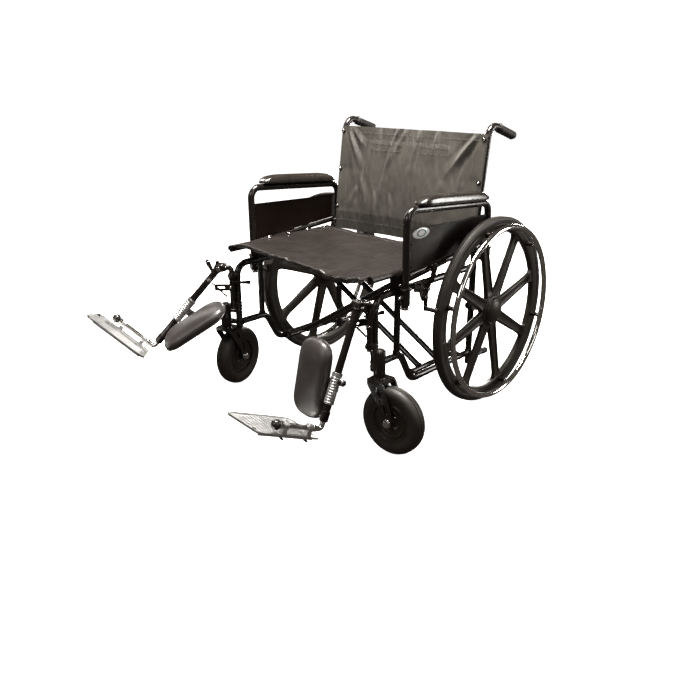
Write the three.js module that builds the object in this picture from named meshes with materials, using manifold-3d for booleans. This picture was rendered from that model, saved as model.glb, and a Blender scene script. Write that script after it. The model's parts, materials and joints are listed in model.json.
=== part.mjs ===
// Folding wheelchair with a double cross brace, magnesium-style rear wheels,
// full-length armrests and elevating, swing-away legrests. Millimetres, +Z up.
// The user sits facing -Y, so the user's left side is +X.
// Every side part is drawn for the left side; the right side is its mirror image.
import * as THREE from 'three';
import { mergeVertices } from 'three/addons/utils/BufferGeometryUtils.js';
import Module from 'manifold-3d';

const wasm = await Module();
wasm.setup();

// ---------------------------------------------------------------- driving dimensions
const GAP = 0.4; // clearance between pieces that touch on the real chair
const DEGREE = Math.PI / 180;

const FRAME_X = 298; // mid-plane of each side frame
const FRAME_TUBE = 11; // radius of the frame tubes
const AXLE_Z = 305; // rear axle height, half of a 24 in wheel
const TOP_RAIL_Z = 440;
const SEAT_RAIL_Z = 494;
const LOWER_RAIL_Z = 142;
const RAIL_STEP_Z = 240; // height of the lower rail's front part
const FRONT_POST_Y = -499;
const MIDDLE_POST_Y = -396;
const CANE_FOOT_Z = 108;
const CANE_BEND_Z = 557; // the back cane leans back above this height
const CANE_TOP = { y: 46, z: 889 };
const HANDLE_END = { y: 205, z: 840 };
const TIPPING_LEVER = { y: 108, z: 119, radius: 9 }; // end of the foot lever behind each cane

const WHEEL_X = 371.6;
const TYRE_RADIUS = 305;
const TYRE_HALF_WIDTH = 15;
const RIM_RADIUS = 283; // the tyre's seat on the rim
const HANDRIM_X = 415.7;
const HANDRIM_RADIUS = 275.6;
const HANDRIM_TUBE = 9;
const SPOKE_COUNT = 8;
const SPOKE_PHASE = { left: 15, right: 27.5 }; // degrees forward of straight up
const AXLE_RADIUS = 6.2;

const CASTER = { x: 338, y: -523, radius: 101.6, halfWidth: 24, trail: 53 };
const CASTER_HOUSING = { bottom: 222, top: 300, radius: 17, bore: 9.4 };
const CASTER_SWIVEL = { left: 2, right: 78 }; // trail direction, turned from outboard to the rear

const ARM_X = 326.6;
const ARM_FRONT_Y = -398;
const ARM_REAR_Y = 22;
const ARM_SLOPE = -0.067; // rise of the arm tube per millimetre towards the back
const ARM_FRONT_TOP_Z = 675;
const ARM_TUBE = 11;
const ARM_PAD = { inboard: 24.4, outboard: 26.6 }; // clear of the seat rails as they rise in the fold

const BRACE_PIVOT = { x: 272, z: 146 };
const BRACE_TUBE = 11;
const BRACE_PIVOT_TUBE = 9;
const BRACE_ROWS = { a: [-236, -140], b: [-212, -116] };
const SEAT_RAIL = { front: -515, back: -58, radius: 10 };
const PIVOT_TUBE = { front: -288, back: -62 };

const HANGER = { x: 299, y: -521, tube: 9, armZ: 433, footZ: 294, pivotY: -39 };
const HANGER_LUGS = [302, 404];
const LEG = { length: 366, outer: 11, inner: 8.6, end: 338, barrel: 12 };
const LEG_POSE = {
  left: { swing: -13.2, raise: 20.7, plate: 0 },
  right: { swing: 48.3, raise: 41, plate: 15 },
};
// Where the grip of each release lever starts and ends, as [y, z] from its hinge.
const LEVER_GRIP = {
  left: { start: [39, -8], end: [20, -78] },
  right: { start: [-18, -34], end: [-36, 8] },
};
// Each calf pad's turn round the leg tube, height on it, place beside it and tilt on its bracket.
const CALF_POSE = {
  left: { turn: 9, z: -243, x: -88, y: 4, tilt: 11 },
  right: { turn: -15, z: -190, x: -80, y: 40, tilt: -17 },
};
const CALF_SLEEVE = { half: 46, outer: 15, bore: 12 };
const FOOT_TUBE = { radius: 8, reach: 140 };
const FOOTPLATE = { heel: 4, toe: 215, outer: -12, inner: 150, drop: 24, thickness: 5 };
const RATCHET = { along: 50, length: 80, slope: 46, x: 16, radius: 3.4 };

const TUBE_SIDES = 10;
const WHEEL_SEGMENTS = 32;
const CASTER_SEGMENTS = 20;

// ---------------------------------------------------------------- materials
const finish = (color, roughness, metalness) => ({ color, roughness, metalness });
const FRAME_BLACK = finish(0x0c0b0b, 0.22, 0.6);
const CHROME = finish(0xd8d8d8, 0.12, 1);
const ALUMINIUM = finish(0xc2c4c6, 0.38, 1);
const BLACK_PLASTIC = finish(0x111111, 0.45, 0);
const WHEEL_PLASTIC = finish(0x0d0d0e, 0.35, 0);
const TYRE_RUBBER = finish(0x1a1a1a, 0.75, 0);
const VINYL = finish(0x2b2b2d, 0.4, 0);
const GRIP_RUBBER = finish(0x141414, 0.7, 0);
const PAD_BLACK = finish(0x0f0e0d, 0.25, 0);

// ---------------------------------------------------------------- solid modelling helpers
function toSolid(geometry) {
  const bare = geometry.clone();
  bare.deleteAttribute('normal');
  bare.deleteAttribute('uv');
  const merged = mergeVertices(bare, 1e-4);
  return new wasm.Manifold(new wasm.Mesh({
    numProp: 3,
    vertProperties: new Float32Array(merged.attributes.position.array),
    triVerts: new Uint32Array(merged.index.array),
  }));
}

function toGeometry(solid) {
  const mesh = solid.getMesh();
  const geometry = new THREE.BufferGeometry();
  geometry.setAttribute('position', new THREE.BufferAttribute(mesh.vertProperties, 3));
  geometry.setIndex(new THREE.BufferAttribute(mesh.triVerts, 1));
  return geometry;
}

function join(...geometries) {
  const solids = geometries.map(toSolid);
  return toGeometry(solids.reduce((whole, part) => whole.add(part)));
}

function cut(geometry, ...tools) {
  const solids = tools.map(toSolid);
  return toGeometry(solids.reduce((whole, tool) => whole.subtract(tool), toSolid(geometry)));
}

function mirrored(geometry) {
  const copy = mergeVertices(geometry.clone());
  copy.scale(-1, 1, 1);
  const index = copy.index.array;
  for (let i = 0; i < index.length; i += 3) {
    [index[i], index[i + 1]] = [index[i + 1], index[i]];
  }
  return copy;
}

// A path through fixed stations, one ring of the swept tube at each station.
class StationPath extends THREE.Curve {
  constructor(stations) {
    super();
    this.stations = stations;
  }

  getPoint(t) {
    const span = (this.stations.length - 1) * t;
    const index = Math.min(Math.floor(span + 1e-9), this.stations.length - 2);
    return this.stations[index].clone().lerp(this.stations[index + 1], span - index);
  }

  getPointAt(u) {
    return this.getPoint(u);
  }

  getTangentAt(u) {
    const last = this.stations.length - 1;
    const index = Math.round(u * last);
    const before = this.stations[Math.max(index - 1, 0)];
    const after = this.stations[Math.min(index + 1, last)];
    const here = this.stations[index];
    const arriving = here.clone().sub(before).normalize();
    const leaving = after.clone().sub(here).normalize();
    return arriving.add(leaving).normalize();
  }
}

// Turns corner points into stations, with each inner corner rounded to the bend radius.
function roundedStations(corners, bend, stepsPerBend = 4) {
  const points = corners.map((corner) => new THREE.Vector3(...corner));
  const stations = [points[0]];
  for (let i = 1; i < points.length - 1; i += 1) {
    const back = points[i - 1].clone().sub(points[i]).normalize();
    const onward = points[i + 1].clone().sub(points[i]).normalize();
    const turn = Math.PI - back.angleTo(onward);
    const setback = bend * Math.tan(turn / 2);
    const centre = back.clone().add(onward).normalize()
      .multiplyScalar(bend / Math.cos(turn / 2)).add(points[i]);
    const start = back.clone().multiplyScalar(setback).add(points[i]).sub(centre);
    const axis = back.clone().cross(onward).normalize();
    const steps = Math.max(1, Math.round((stepsPerBend * turn) / (Math.PI / 2)));
    for (let k = 0; k <= steps; k += 1) {
      const spoke = start.clone().applyAxisAngle(axis, (-turn * k) / steps);
      stations.push(spoke.add(centre));
    }
  }
  stations.push(points[points.length - 1]);
  return stations;
}

function circle(radius, sides) {
  const shape = new THREE.Shape();
  for (let i = 0; i < sides; i += 1) {
    const angle = ((i + 0.5) * 2 * Math.PI) / sides;
    const point = [radius * Math.cos(angle), radius * Math.sin(angle)];
    if (i === 0) shape.moveTo(...point);
    else shape.lineTo(...point);
  }
  shape.closePath();
  return shape;
}

function tube(corners, radius, { bend = 40, sides = TUBE_SIDES, bore = 0 } = {}) {
  const stations = corners.length > 2
    ? roundedStations(corners, bend) : corners.map((corner) => new THREE.Vector3(...corner));
  const section = circle(radius, sides);
  if (bore > 0) section.holes.push(circle(bore, sides));
  return new THREE.ExtrudeGeometry(section, {
    steps: stations.length - 1,
    extrudePath: new StationPath(stations),
  });
}

function rod(from, to, radius, sides = TUBE_SIDES) {
  return tube([from, to], radius, { sides });
}

function box(low, high) {
  const size = low.map((value, i) => high[i] - value);
  const geometry = new THREE.BoxGeometry(...size);
  geometry.translate(...low.map((value, i) => (value + high[i]) / 2));
  return geometry;
}

// Profile points are [radius, place along the X axis].
function turned(profile, segments = WHEEL_SEGMENTS) {
  const points = profile.map(([radius, along]) => new THREE.Vector2(radius, along));
  const geometry = new THREE.LatheGeometry(points, segments);
  geometry.rotateZ(-Math.PI / 2);
  return geometry;
}

// An outline in the XY plane, given a thickness upwards from z.
function plate(outline, thickness, z = 0) {
  const shape = new THREE.Shape(outline.map((point) => new THREE.Vector2(...point)));
  const geometry = new THREE.ExtrudeGeometry(shape, { depth: thickness, bevelEnabled: false });
  geometry.translate(0, 0, z);
  return geometry;
}

// An outline in the YZ plane, given a thickness from x towards +X.
function sidePlate(outline, x, thickness) {
  const geometry = plate(outline, thickness);
  geometry.applyMatrix4(new THREE.Matrix4().makeBasis(
    new THREE.Vector3(0, 1, 0),
    new THREE.Vector3(0, 0, 1),
    new THREE.Vector3(1, 0, 0),
  ));
  geometry.translate(x, 0, 0);
  return geometry;
}

// A rectangle about the centre, of the given half sizes, with its corners rounded.
function roundedOutline(halfWidth, halfHeight, corner, steps = 4) {
  const points = [];
  const centres = [[1, 1, 0], [-1, 1, 1], [-1, -1, 2], [1, -1, 3]];
  for (const [signX, signY, quarter] of centres) {
    for (let k = 0; k <= steps; k += 1) {
      const angle = (quarter + k / steps) * (Math.PI / 2);
      points.push([
        signX * (halfWidth - corner) + corner * Math.cos(angle),
        signY * (halfHeight - corner) + corner * Math.sin(angle),
      ]);
    }
  }
  return points;
}

// ---------------------------------------------------------------- the assembly
const chair = new THREE.Group();

function add(parent, side, name, geometry, look) {
  const shape = side === 'right' ? mirrored(geometry) : geometry;
  const mesh = new THREE.Mesh(shape, new THREE.MeshStandardMaterial(look));
  mesh.name = side ? `${side}_${name}` : name;
  parent.add(mesh);
}

// A nested group at a place on the left side, mirrored for the right side.
function place(parent, side, position, turn = [0, 0, 0]) {
  const sign = side === 'right' ? -1 : 1;
  const group = new THREE.Group();
  group.position.set(sign * position[0], position[1], position[2]);
  group.rotation.set(turn[0], sign * turn[1], sign * turn[2]);
  parent.add(group);
  return group;
}

// ---------------------------------------------------------------- side frame
function frontPost() {
  const bentTube = tube([
    [FRAME_X, FRONT_POST_Y, 228],
    [FRAME_X, FRONT_POST_Y, TOP_RAIL_Z],
    [FRAME_X, -430, TOP_RAIL_Z],
  ], FRAME_TUBE, { bend: 42 });
  const lugs = HANGER_LUGS.map((z) => join(
    rod([HANGER.x, HANGER.y, z - 4], [HANGER.x, HANGER.y, z + 4], 14, 12),
    box([HANGER.x - 9, HANGER.y + 4, z - 4], [HANGER.x + 9, FRONT_POST_Y, z + 4]),
  ));
  const housing = rod(
    [CASTER.x, CASTER.y, CASTER_HOUSING.bottom],
    [CASTER.x, CASTER.y, CASTER_HOUSING.top],
    CASTER_HOUSING.radius,
    12,
  );
  const gussets = [236, 276].map((z) => plate([
    [FRAME_X - 6, FRONT_POST_Y - 8],
    [CASTER.x - 6, CASTER.y - 12],
    [CASTER.x + 6, CASTER.y + 12],
    [FRAME_X + 6, FRONT_POST_Y + 8],
  ], 12, z));
  const hangerBore = rod(
    [HANGER.x, HANGER.y, HANGER_LUGS[0] - 8],
    [HANGER.x, HANGER.y, HANGER_LUGS[1] + 8],
    HANGER.tube + 0.7,
    12,
  );
  const stemBore = rod(
    [CASTER.x, CASTER.y, CASTER_HOUSING.bottom - 5],
    [CASTER.x, CASTER.y, CASTER_HOUSING.top + 5],
    CASTER_HOUSING.bore,
    12,
  );
  return cut(join(bentTube, ...lugs, ...gussets, housing), hangerBore, stemBore);
}

function topRail() {
  const rail = rod(
    [FRAME_X, -430 + GAP, TOP_RAIL_Z],
    [FRAME_X, -FRAME_TUBE - GAP, TOP_RAIL_Z],
    FRAME_TUBE,
  );
  const middlePost = rod(
    [FRAME_X, MIDDLE_POST_Y, RAIL_STEP_Z + FRAME_TUBE + GAP],
    [FRAME_X, MIDDLE_POST_Y, TOP_RAIL_Z],
    FRAME_TUBE - 1,
  );
  const saddleTop = SEAT_RAIL_Z - SEAT_RAIL.radius - GAP;
  const saddles = [-398, -88].map((y) => box(
    [FRAME_X - 10, y - 18, TOP_RAIL_Z],
    [FRAME_X + 10, y + 18, saddleTop],
  ));
  const socket = rod([ARM_X, ARM_FRONT_Y, 402], [ARM_X, ARM_FRONT_Y, 452], ARM_TUBE + 4, 12);
  const socketWeb = box(
    [FRAME_X, MIDDLE_POST_Y - 6, 408],
    [ARM_X - ARM_TUBE, MIDDLE_POST_Y + 4, 446],
  );
  const armBore = rod([ARM_X, ARM_FRONT_Y, 380], [ARM_X, ARM_FRONT_Y, 470], ARM_TUBE + 0.8, 12);
  return cut(join(rail, middlePost, ...saddles, socket, socketWeb), armBore);
}

function lowerRail() {
  const rail = tube([
    [FRAME_X, FRONT_POST_Y + FRAME_TUBE + GAP, RAIL_STEP_Z],
    [FRAME_X, -378, RAIL_STEP_Z],
    [FRAME_X, -322, LOWER_RAIL_Z],
    [FRAME_X, -FRAME_TUBE - GAP, LOWER_RAIL_Z],
  ], FRAME_TUBE, { bend: 38 });
  const brackets = [PIVOT_TUBE.front - GAP - 8, PIVOT_TUBE.back + GAP].map((y) => {
    const ear = rod(
      [BRACE_PIVOT.x, y, BRACE_PIVOT.z],
      [BRACE_PIVOT.x, y + 8, BRACE_PIVOT.z],
      13,
      12,
    );
    const web = box(
      [BRACE_PIVOT.x, y, BRACE_PIVOT.z - 12],
      [FRAME_X, y + 8, BRACE_PIVOT.z + 6],
    );
    return join(ear, web);
  });
  return join(rail, ...brackets);
}

function backCane() {
  const cane = tube([
    [FRAME_X, 0, CANE_FOOT_Z],
    [FRAME_X, 0, CANE_BEND_Z],
    [FRAME_X, CANE_TOP.y, CANE_TOP.z],
    [FRAME_X, HANDLE_END.y - 5, HANDLE_END.z + 1.5],
  ], FRAME_TUBE, { bend: 46 });
  const socket = rod([ARM_X, ARM_REAR_Y, 458], [ARM_X, ARM_REAR_Y, 506], ARM_TUBE + 4, 12);
  const socketWeb = plate([
    [FRAME_X, -7],
    [ARM_X, ARM_REAR_Y - 12],
    [ARM_X - 6, ARM_REAR_Y + 8],
    [FRAME_X - 6, 7],
  ], 36, 464);
  const armBore = rod([ARM_X, ARM_REAR_Y, 440], [ARM_X, ARM_REAR_Y, 520], ARM_TUBE + 0.8, 12);
  const axleBore = rod([FRAME_X - 20, 0, AXLE_Z], [FRAME_X + 20, 0, AXLE_Z], AXLE_RADIUS + 0.4, 12);
  const tippingLever = rod(
    [FRAME_X, 0, TIPPING_LEVER.z],
    [FRAME_X, TIPPING_LEVER.y, TIPPING_LEVER.z],
    TIPPING_LEVER.radius,
  );
  return cut(join(cane, socket, socketWeb, tippingLever), armBore, axleBore);
}

function pushGrip() {
  const slope = new THREE.Vector2(HANDLE_END.y - CANE_TOP.y, HANDLE_END.z - CANE_TOP.z).normalize();
  const start = [
    FRAME_X,
    HANDLE_END.y - 108 * slope.x,
    HANDLE_END.z - 108 * slope.y,
  ];
  return tube([start, [FRAME_X, HANDLE_END.y, HANDLE_END.z]], 16, { bore: 12.2, sides: 12 });
}

// ---------------------------------------------------------------- rear wheel
function rearAxle() {
  return turned([
    [0, 273],
    [10, 273],
    [10, 286.4],
    [AXLE_RADIUS, 286.4],
    [AXLE_RADIUS, 309.6],
    [11, 309.6],
    [11, 340],
    [AXLE_RADIUS, 340],
    [AXLE_RADIUS, 384],
    [0, 384],
  ], 12);
}

function rearTyre() {
  const inner = RIM_RADIUS + GAP;
  const profile = [
    [inner, -TYRE_HALF_WIDTH + 2],
    [inner + 7, -TYRE_HALF_WIDTH],
    [TYRE_RADIUS - 6, -TYRE_HALF_WIDTH + 4],
    [TYRE_RADIUS, -5],
    [TYRE_RADIUS, 5],
    [TYRE_RADIUS - 6, TYRE_HALF_WIDTH - 4],
    [inner + 7, TYRE_HALF_WIDTH],
    [inner, TYRE_HALF_WIDTH - 2],
  ];
  profile.push(profile[0]);
  return turned(profile.map(([radius, along]) => [radius, along + WHEEL_X]));
}

function rearWheel(phase) {
  const rim = turned([
    [258, WHEEL_X - 9],
    [RIM_RADIUS, WHEEL_X - 12],
    [RIM_RADIUS, WHEEL_X + 12],
    [258, WHEEL_X + 9],
    [258, WHEEL_X - 9],
  ]);
  const hub = turned([
    [AXLE_RADIUS + 0.6, 340.6],
    [28, 340.6],
    [34, 360],
    [50, 364],
    [50, 384],
    [40, 396],
    [0, 399],
    [0, 386],
    [AXLE_RADIUS + 0.6, 386],
    [AXLE_RADIUS + 0.6, 340.6],
  ], 24);
  const spokes = [];
  for (let i = 0; i < SPOKE_COUNT; i += 1) {
    const spoke = sidePlate([[-20, 44], [20, 44], [15, 264], [-15, 264]], WHEEL_X - 7, 14);
    spoke.rotateX((i * 2 * Math.PI) / SPOKE_COUNT + phase * DEGREE);
    spokes.push(spoke);
  }
  return join(rim, hub, ...spokes);
}

function handrim() {
  const ring = [];
  for (let k = 0; k <= 8; k += 1) {
    const angle = (k * Math.PI) / 4;
    ring.push([
      HANDRIM_RADIUS + HANDRIM_TUBE * Math.cos(angle),
      HANDRIM_X + HANDRIM_TUBE * Math.sin(angle),
    ]);
  }
  const standoffs = [];
  for (let i = 0; i < 6; i += 1) {
    const standoff = rod(
      [WHEEL_X + 12 + GAP, 0, 272],
      [HANDRIM_X, 0, 272],
      5,
      6,
    );
    standoff.rotateX(((i + 0.25) * Math.PI) / 3);
    standoffs.push(standoff);
  }
  return join(turned(ring), ...standoffs);
}

// ---------------------------------------------------------------- caster, in the stem's own frame
function casterFork() {
  const stem = rod([0, 0, 218], [0, 0, CASTER_HOUSING.top - 2], 8.4, 12);
  const crown = box([-24, -32, 208], [34, 32, 219]);
  const legs = [-32, 26.6].map((y) => {
    const leg = plate([
      [-20, 219],
      [34, 219],
      [CASTER.trail + 17, 122],
      [CASTER.trail + 17, 92],
      [CASTER.trail - 17, 92],
      [CASTER.trail - 20, 128],
      [-20, 205],
    ], 5.4);
    leg.rotateX(Math.PI / 2);
    leg.translate(0, y + 5.4, 0);
    return leg;
  });
  const bolt = rod(
    [CASTER.trail, -38, CASTER.radius],
    [CASTER.trail, 38, CASTER.radius],
    AXLE_RADIUS,
    12,
  );
  return join(stem, crown, ...legs, bolt);
}

function casterTurned(profile) {
  const geometry = turned(profile, CASTER_SEGMENTS);
  geometry.rotateZ(Math.PI / 2);
  geometry.translate(CASTER.trail, 0, CASTER.radius);
  return geometry;
}

function casterWheel() {
  const bore = AXLE_RADIUS + 0.6;
  return casterTurned([
    [bore, -25],
    [15, -25],
    [20, -14],
    [50, -12],
    [56, -20],
    [62, -20],
    [62, 20],
    [56, 20],
    [50, 12],
    [20, 14],
    [15, 25],
    [bore, 25],
    [bore, -25],
  ]);
}

function casterTyre() {
  const inner = 62 + GAP;
  const { radius, halfWidth } = CASTER;
  return casterTurned([
    [inner, -20],
    [76, -halfWidth],
    [90, -halfWidth + 2],
    [99, -14],
    [radius, -6],
    [radius, 6],
    [99, 14],
    [90, halfWidth - 2],
    [76, halfWidth],
    [inner, 20],
    [inner, -20],
  ]);
}

// ---------------------------------------------------------------- armrest
function armTopZ(y) {
  return ARM_FRONT_TOP_Z + ARM_SLOPE * (y - ARM_FRONT_Y);
}

function armFrame() {
  const hoop = tube([
    [ARM_X, ARM_FRONT_Y, 394],
    [ARM_X, ARM_FRONT_Y, ARM_FRONT_TOP_Z],
    [ARM_X, ARM_REAR_Y, armTopZ(ARM_REAR_Y)],
    [ARM_X, ARM_REAR_Y, 462],
  ], ARM_TUBE, { bend: 34 });
  const lowerTube = rod([ARM_X, ARM_FRONT_Y, 489], [ARM_X, ARM_REAR_Y, 520], 8);
  return join(hoop, lowerTube);
}

function armPanel() {
  const front = ARM_FRONT_Y + ARM_TUBE + 1;
  const rear = ARM_REAR_Y - ARM_TUBE - 1;
  return sidePlate([
    [front, 499],
    [rear, 529],
    [rear, 610],
    [-46, 615],
    [-74, 614],
    [-114, 606],
    [front, 621],
  ], ARM_X - 1.5, 3);
}

function armPad() {
  const halfLength = 174;
  const middleY = -176;
  const profile = [
    [-halfLength, 0],
    [halfLength, 0],
    [halfLength + 4, 8],
    [halfLength - 8, 22],
    [halfLength - 60, 29],
    [-halfLength + 60, 29],
    [-halfLength + 8, 22],
    [-halfLength - 4, 8],
  ];
  const pad = sidePlate(profile, ARM_X - ARM_PAD.inboard, ARM_PAD.inboard + ARM_PAD.outboard);
  pad.rotateX(Math.atan(ARM_SLOPE));
  pad.translate(0, middleY, armTopZ(middleY) + ARM_TUBE + GAP);
  return pad;
}

// ---------------------------------------------------------------- parking brake
const BRAKE_X = 340; // inner face of the lever and shoe blades
const BRAKE_PIVOT = { y: -312, z: 436 };
const SHOE_PIVOT = { y: -318, z: 414 };

function brakeBody() {
  const clamp = box([FRAME_X + FRAME_TUBE + 0.6, -336, 424], [FRAME_X + 17, -280, 456]);
  const arm = box([FRAME_X + 16, -328, 404], [BRAKE_X - 2, -300, 448]);
  const pins = [BRAKE_PIVOT, SHOE_PIVOT].map(({ y, z }) => rod(
    [BRAKE_X - 3, y, z],
    [BRAKE_X - GAP, y, z],
    7,
  ));
  return join(clamp, arm, ...pins);
}

function brakeLever() {
  const x = BRAKE_X;
  const boss = rod([x, BRAKE_PIVOT.y, BRAKE_PIVOT.z], [x + 4, BRAKE_PIVOT.y, BRAKE_PIVOT.z], 9);
  const blade = sidePlate([
    [BRAKE_PIVOT.y - 7, BRAKE_PIVOT.z],
    [BRAKE_PIVOT.y + 7, BRAKE_PIVOT.z - 2],
    [-290, 462],
    [-300, 466],
  ], x, 4);
  const grip = rod([x + 6, -297, 459], [x + 6, -281, 506], 8.5);
  return join(boss, blade, grip);
}

function brakeShoe() {
  const x = BRAKE_X;
  const boss = rod([x, SHOE_PIVOT.y, SHOE_PIVOT.z], [x + 4, SHOE_PIVOT.y, SHOE_PIVOT.z], 9);
  const arm = sidePlate([
    [SHOE_PIVOT.y - 8, SHOE_PIVOT.z + 2],
    [SHOE_PIVOT.y + 8, SHOE_PIVOT.z + 2],
    [SHOE_PIVOT.y + 8, SHOE_PIVOT.z - 36],
    [SHOE_PIVOT.y - 8, SHOE_PIVOT.z - 36],
  ], x, 4);
  const shoeBar = rod(
    [x, SHOE_PIVOT.y, SHOE_PIVOT.z - 36],
    [WHEEL_X + 15, SHOE_PIVOT.y, SHOE_PIVOT.z - 36],
    7,
  );
  return join(boss, arm, shoeBar);
}

// ---------------------------------------------------------------- cross brace and seat
function brace(rows) {
  const top = [-FRAME_X, SEAT_RAIL_Z];
  const foot = [BRACE_PIVOT.x, BRACE_PIVOT.z];
  const seatRail = rod(
    [top[0], SEAT_RAIL.front, top[1]],
    [top[0], SEAT_RAIL.back, top[1]],
    SEAT_RAIL.radius,
  );
  const pivotTube = rod(
    [foot[0], PIVOT_TUBE.front, foot[1]],
    [foot[0], PIVOT_TUBE.back, foot[1]],
    BRACE_PIVOT_TUBE,
  );
  const diagonals = rows.map((y) => rod(
    [top[0], y, top[1]],
    [foot[0], y, foot[1]],
    BRACE_TUBE - 1.5,
  ));
  const crossing = BRACE_PIVOT.x / (BRACE_PIVOT.x + FRAME_X);
  const boltZ = BRACE_PIVOT.z + crossing * (SEAT_RAIL_Z - BRACE_PIVOT.z);
  const boltBore = rod([0, -300, boltZ], [0, -50, boltZ], 5, 12);
  return cut(join(seatRail, pivotTube, ...diagonals), boltBore);
}

function braceBolt() {
  const crossing = BRACE_PIVOT.x / (BRACE_PIVOT.x + FRAME_X);
  const boltZ = BRACE_PIVOT.z + crossing * (SEAT_RAIL_Z - BRACE_PIVOT.z);
  const front = BRACE_ROWS.a[0] - BRACE_TUBE - 1;
  const back = BRACE_ROWS.b[1] + BRACE_TUBE + 1;
  return join(
    rod([0, front - 4, boltZ], [0, back + 4, boltZ], 4.4, 12),
    rod([0, front - 9, boltZ], [0, front, boltZ], 9, 6),
    rod([0, back, boltZ], [0, back + 9, boltZ], 9, 6),
  );
}

// A sling's section across the chair: level over the rails and sagging between them.
function seatSling() {
  const reach = FRAME_X - 4;
  const topZ = SEAT_RAIL_Z + SEAT_RAIL.radius + 6.4;
  const sag = 28;
  const thickness = 6;
  const upper = [];
  const lower = [];
  for (let k = 0; k <= 8; k += 1) {
    const across = -1 + k / 4;
    const x = across * reach;
    const z = topZ - sag * (1 - across ** 2);
    upper.push([x, z]);
    lower.unshift([x, z - thickness]);
  }
  const sling = plate([...upper, ...lower], SEAT_RAIL.back - SEAT_RAIL.front);
  sling.rotateX(Math.PI / 2);
  sling.translate(0, SEAT_RAIL.back, 0);
  return sling;
}

function backSling() {
  const reach = FRAME_X - FRAME_TUBE - 1;
  const bottomZ = 508;
  const topZ = 858;
  const lean = CANE_TOP.y / (CANE_TOP.z - CANE_BEND_Z);
  const caneY = (z) => Math.max(0, (z - CANE_BEND_Z) * lean);
  const outline = [];
  for (const z of [bottomZ, CANE_BEND_Z, topZ]) outline.push([caneY(z) - 4, z]);
  for (const z of [topZ, CANE_BEND_Z, bottomZ]) outline.push([caneY(z) + 4, z]);
  return sidePlate(outline, -reach, 2 * reach);
}

// ---------------------------------------------------------------- legrest, in the hanger's frame
function hanger() {
  const { tube: radius, armZ, footZ, pivotY } = HANGER;
  const post = tube([
    [0, 0, footZ],
    [0, 0, armZ],
    [0, -24, armZ],
  ], radius, { bend: 13 });
  const bridge = box([-21, -26, armZ - 9], [21, -20, armZ + 9]);
  const ears = [-21, 16].map((x) => join(
    box([x, pivotY, armZ - 9], [x + 5, -20, armZ + 9]),
    rod([x, pivotY, armZ], [x + 5, pivotY, armZ], 12, 12),
  ));
  const guide = join(
    box([-24, -54, 360], [-20.4, 6, 382]),
    box([-22, -6, 360], [0, 6, 382]),
  );
  return join(post, bridge, ...ears, guide);
}

function swingLatch() {
  const z = 388;
  return join(
    box([-21, -5, z - 3], [-9.6, 5, z + 3]),
    box([-22, -5, z - 3], [-18, 44, z + 3]),
    rod([-20, 40, z], [-20, 64, z], 5),
  );
}

function ratchetLever({ start, end }) {
  const x = 25.6;
  const gripTop = [x + 4, ...start];
  const gripEnd = [x + 5, ...end];
  return join(
    rod([x - 4, 0, 0], [x + 5, 0, 0], 6),
    rod([x, 0, 0], gripTop, 4),
    rod(gripTop, gripEnd, 9),
  );
}

// The leg hangs along -Z from the elevating pivot and the foot points along -Y.
function legTube() {
  const { outer, inner, end, barrel } = LEG;
  const shaft = tube([[0, 0, -8], [0, 0, -end]], outer, { bore: inner, sides: 12 });
  const pivotBarrel = rod([-15.4, 0, 0], [15.4, 0, 0], barrel, 12);
  const rodBoss = rod([-12.4, 0, -RATCHET.along], [-9.6, 0, -RATCHET.along], 5);
  return join(shaft, pivotBarrel, rodBoss);
}

function footTube() {
  const bent = tube([
    [0, 0, -230],
    [0, 0, -LEG.length],
    [0, -FOOT_TUBE.reach, -LEG.length],
  ], FOOT_TUBE.radius, { bend: 16 });
  const ball = new THREE.SphereGeometry(15, 10, 6);
  ball.translate(0, -FOOT_TUBE.reach - 12, -LEG.length);
  return join(bent, ball);
}

function footplate() {
  const { heel, toe, outer, inner, drop, thickness } = FOOTPLATE;
  const z = -drop;
  const corner = 18;
  const round = [];
  for (let k = 0; k <= 4; k += 1) {
    const angle = (k / 4) * (Math.PI / 2);
    round.push([
      -(inner - corner) - corner * Math.sin(angle),
      -(toe - corner) - corner * Math.cos(angle),
    ]);
  }
  const deck = plate([
    [-outer, -heel],
    [-outer, -toe + 12],
    [-outer - 12, -toe],
    ...round,
    [-inner, -heel - 18],
    [-inner + 18, -heel],
  ].reverse(), thickness, z - thickness);
  const lugs = [-34, -116].map((y) => {
    const eye = rod([0, y, 0], [0, y - 14, 0], 13.5, 12);
    const web = box([-9, y - 14, z - 2], [9, y, -4]);
    return join(eye, web);
  });
  const bore = rod([0, 20, 0], [0, -FOOT_TUBE.reach - 40, 0], FOOT_TUBE.radius + 0.8, 12);
  return cut(join(deck, ...lugs), bore);
}

function ratchetRod() {
  const eye = rod([-19, 0, 0], [-12.8, 0, 0], 6);
  const bar = rod([-RATCHET.x, 0, 0], [-RATCHET.x, 0, -RATCHET.length], RATCHET.radius, 8);
  return join(eye, bar);
}

// The calf bracket turns about the leg tube; its frame is centred on the pad's height.
function calfBracket({ x, y, tilt }) {
  const { half, outer, bore } = CALF_SLEEVE;
  const sleeve = tube([[0, 0, -half], [0, 0, half]], outer, { bore, sides: 12 });
  const link = box([-4, 8, -14], [4, y + 12, 14]);
  const plateBehind = box([-24, 10, -20], [4 - x, 14, 20]);
  plateBehind.rotateX(tilt * DEGREE);
  plateBehind.translate(x, y, 0);
  const clearance = rod([0, 0, -half - 14], [0, 0, half + 14], bore, 12);
  return cut(join(sleeve, link, plateBehind), clearance);
}

// The calf pad in its own frame, its back at the bracket's plate.
function calfPad() {
  const outline = roundedOutline(62, 120, 58);
  const pad = plate(outline, 44);
  pad.rotateX(Math.PI / 2);
  pad.translate(0, 9.4, 0);
  return pad;
}

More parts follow.
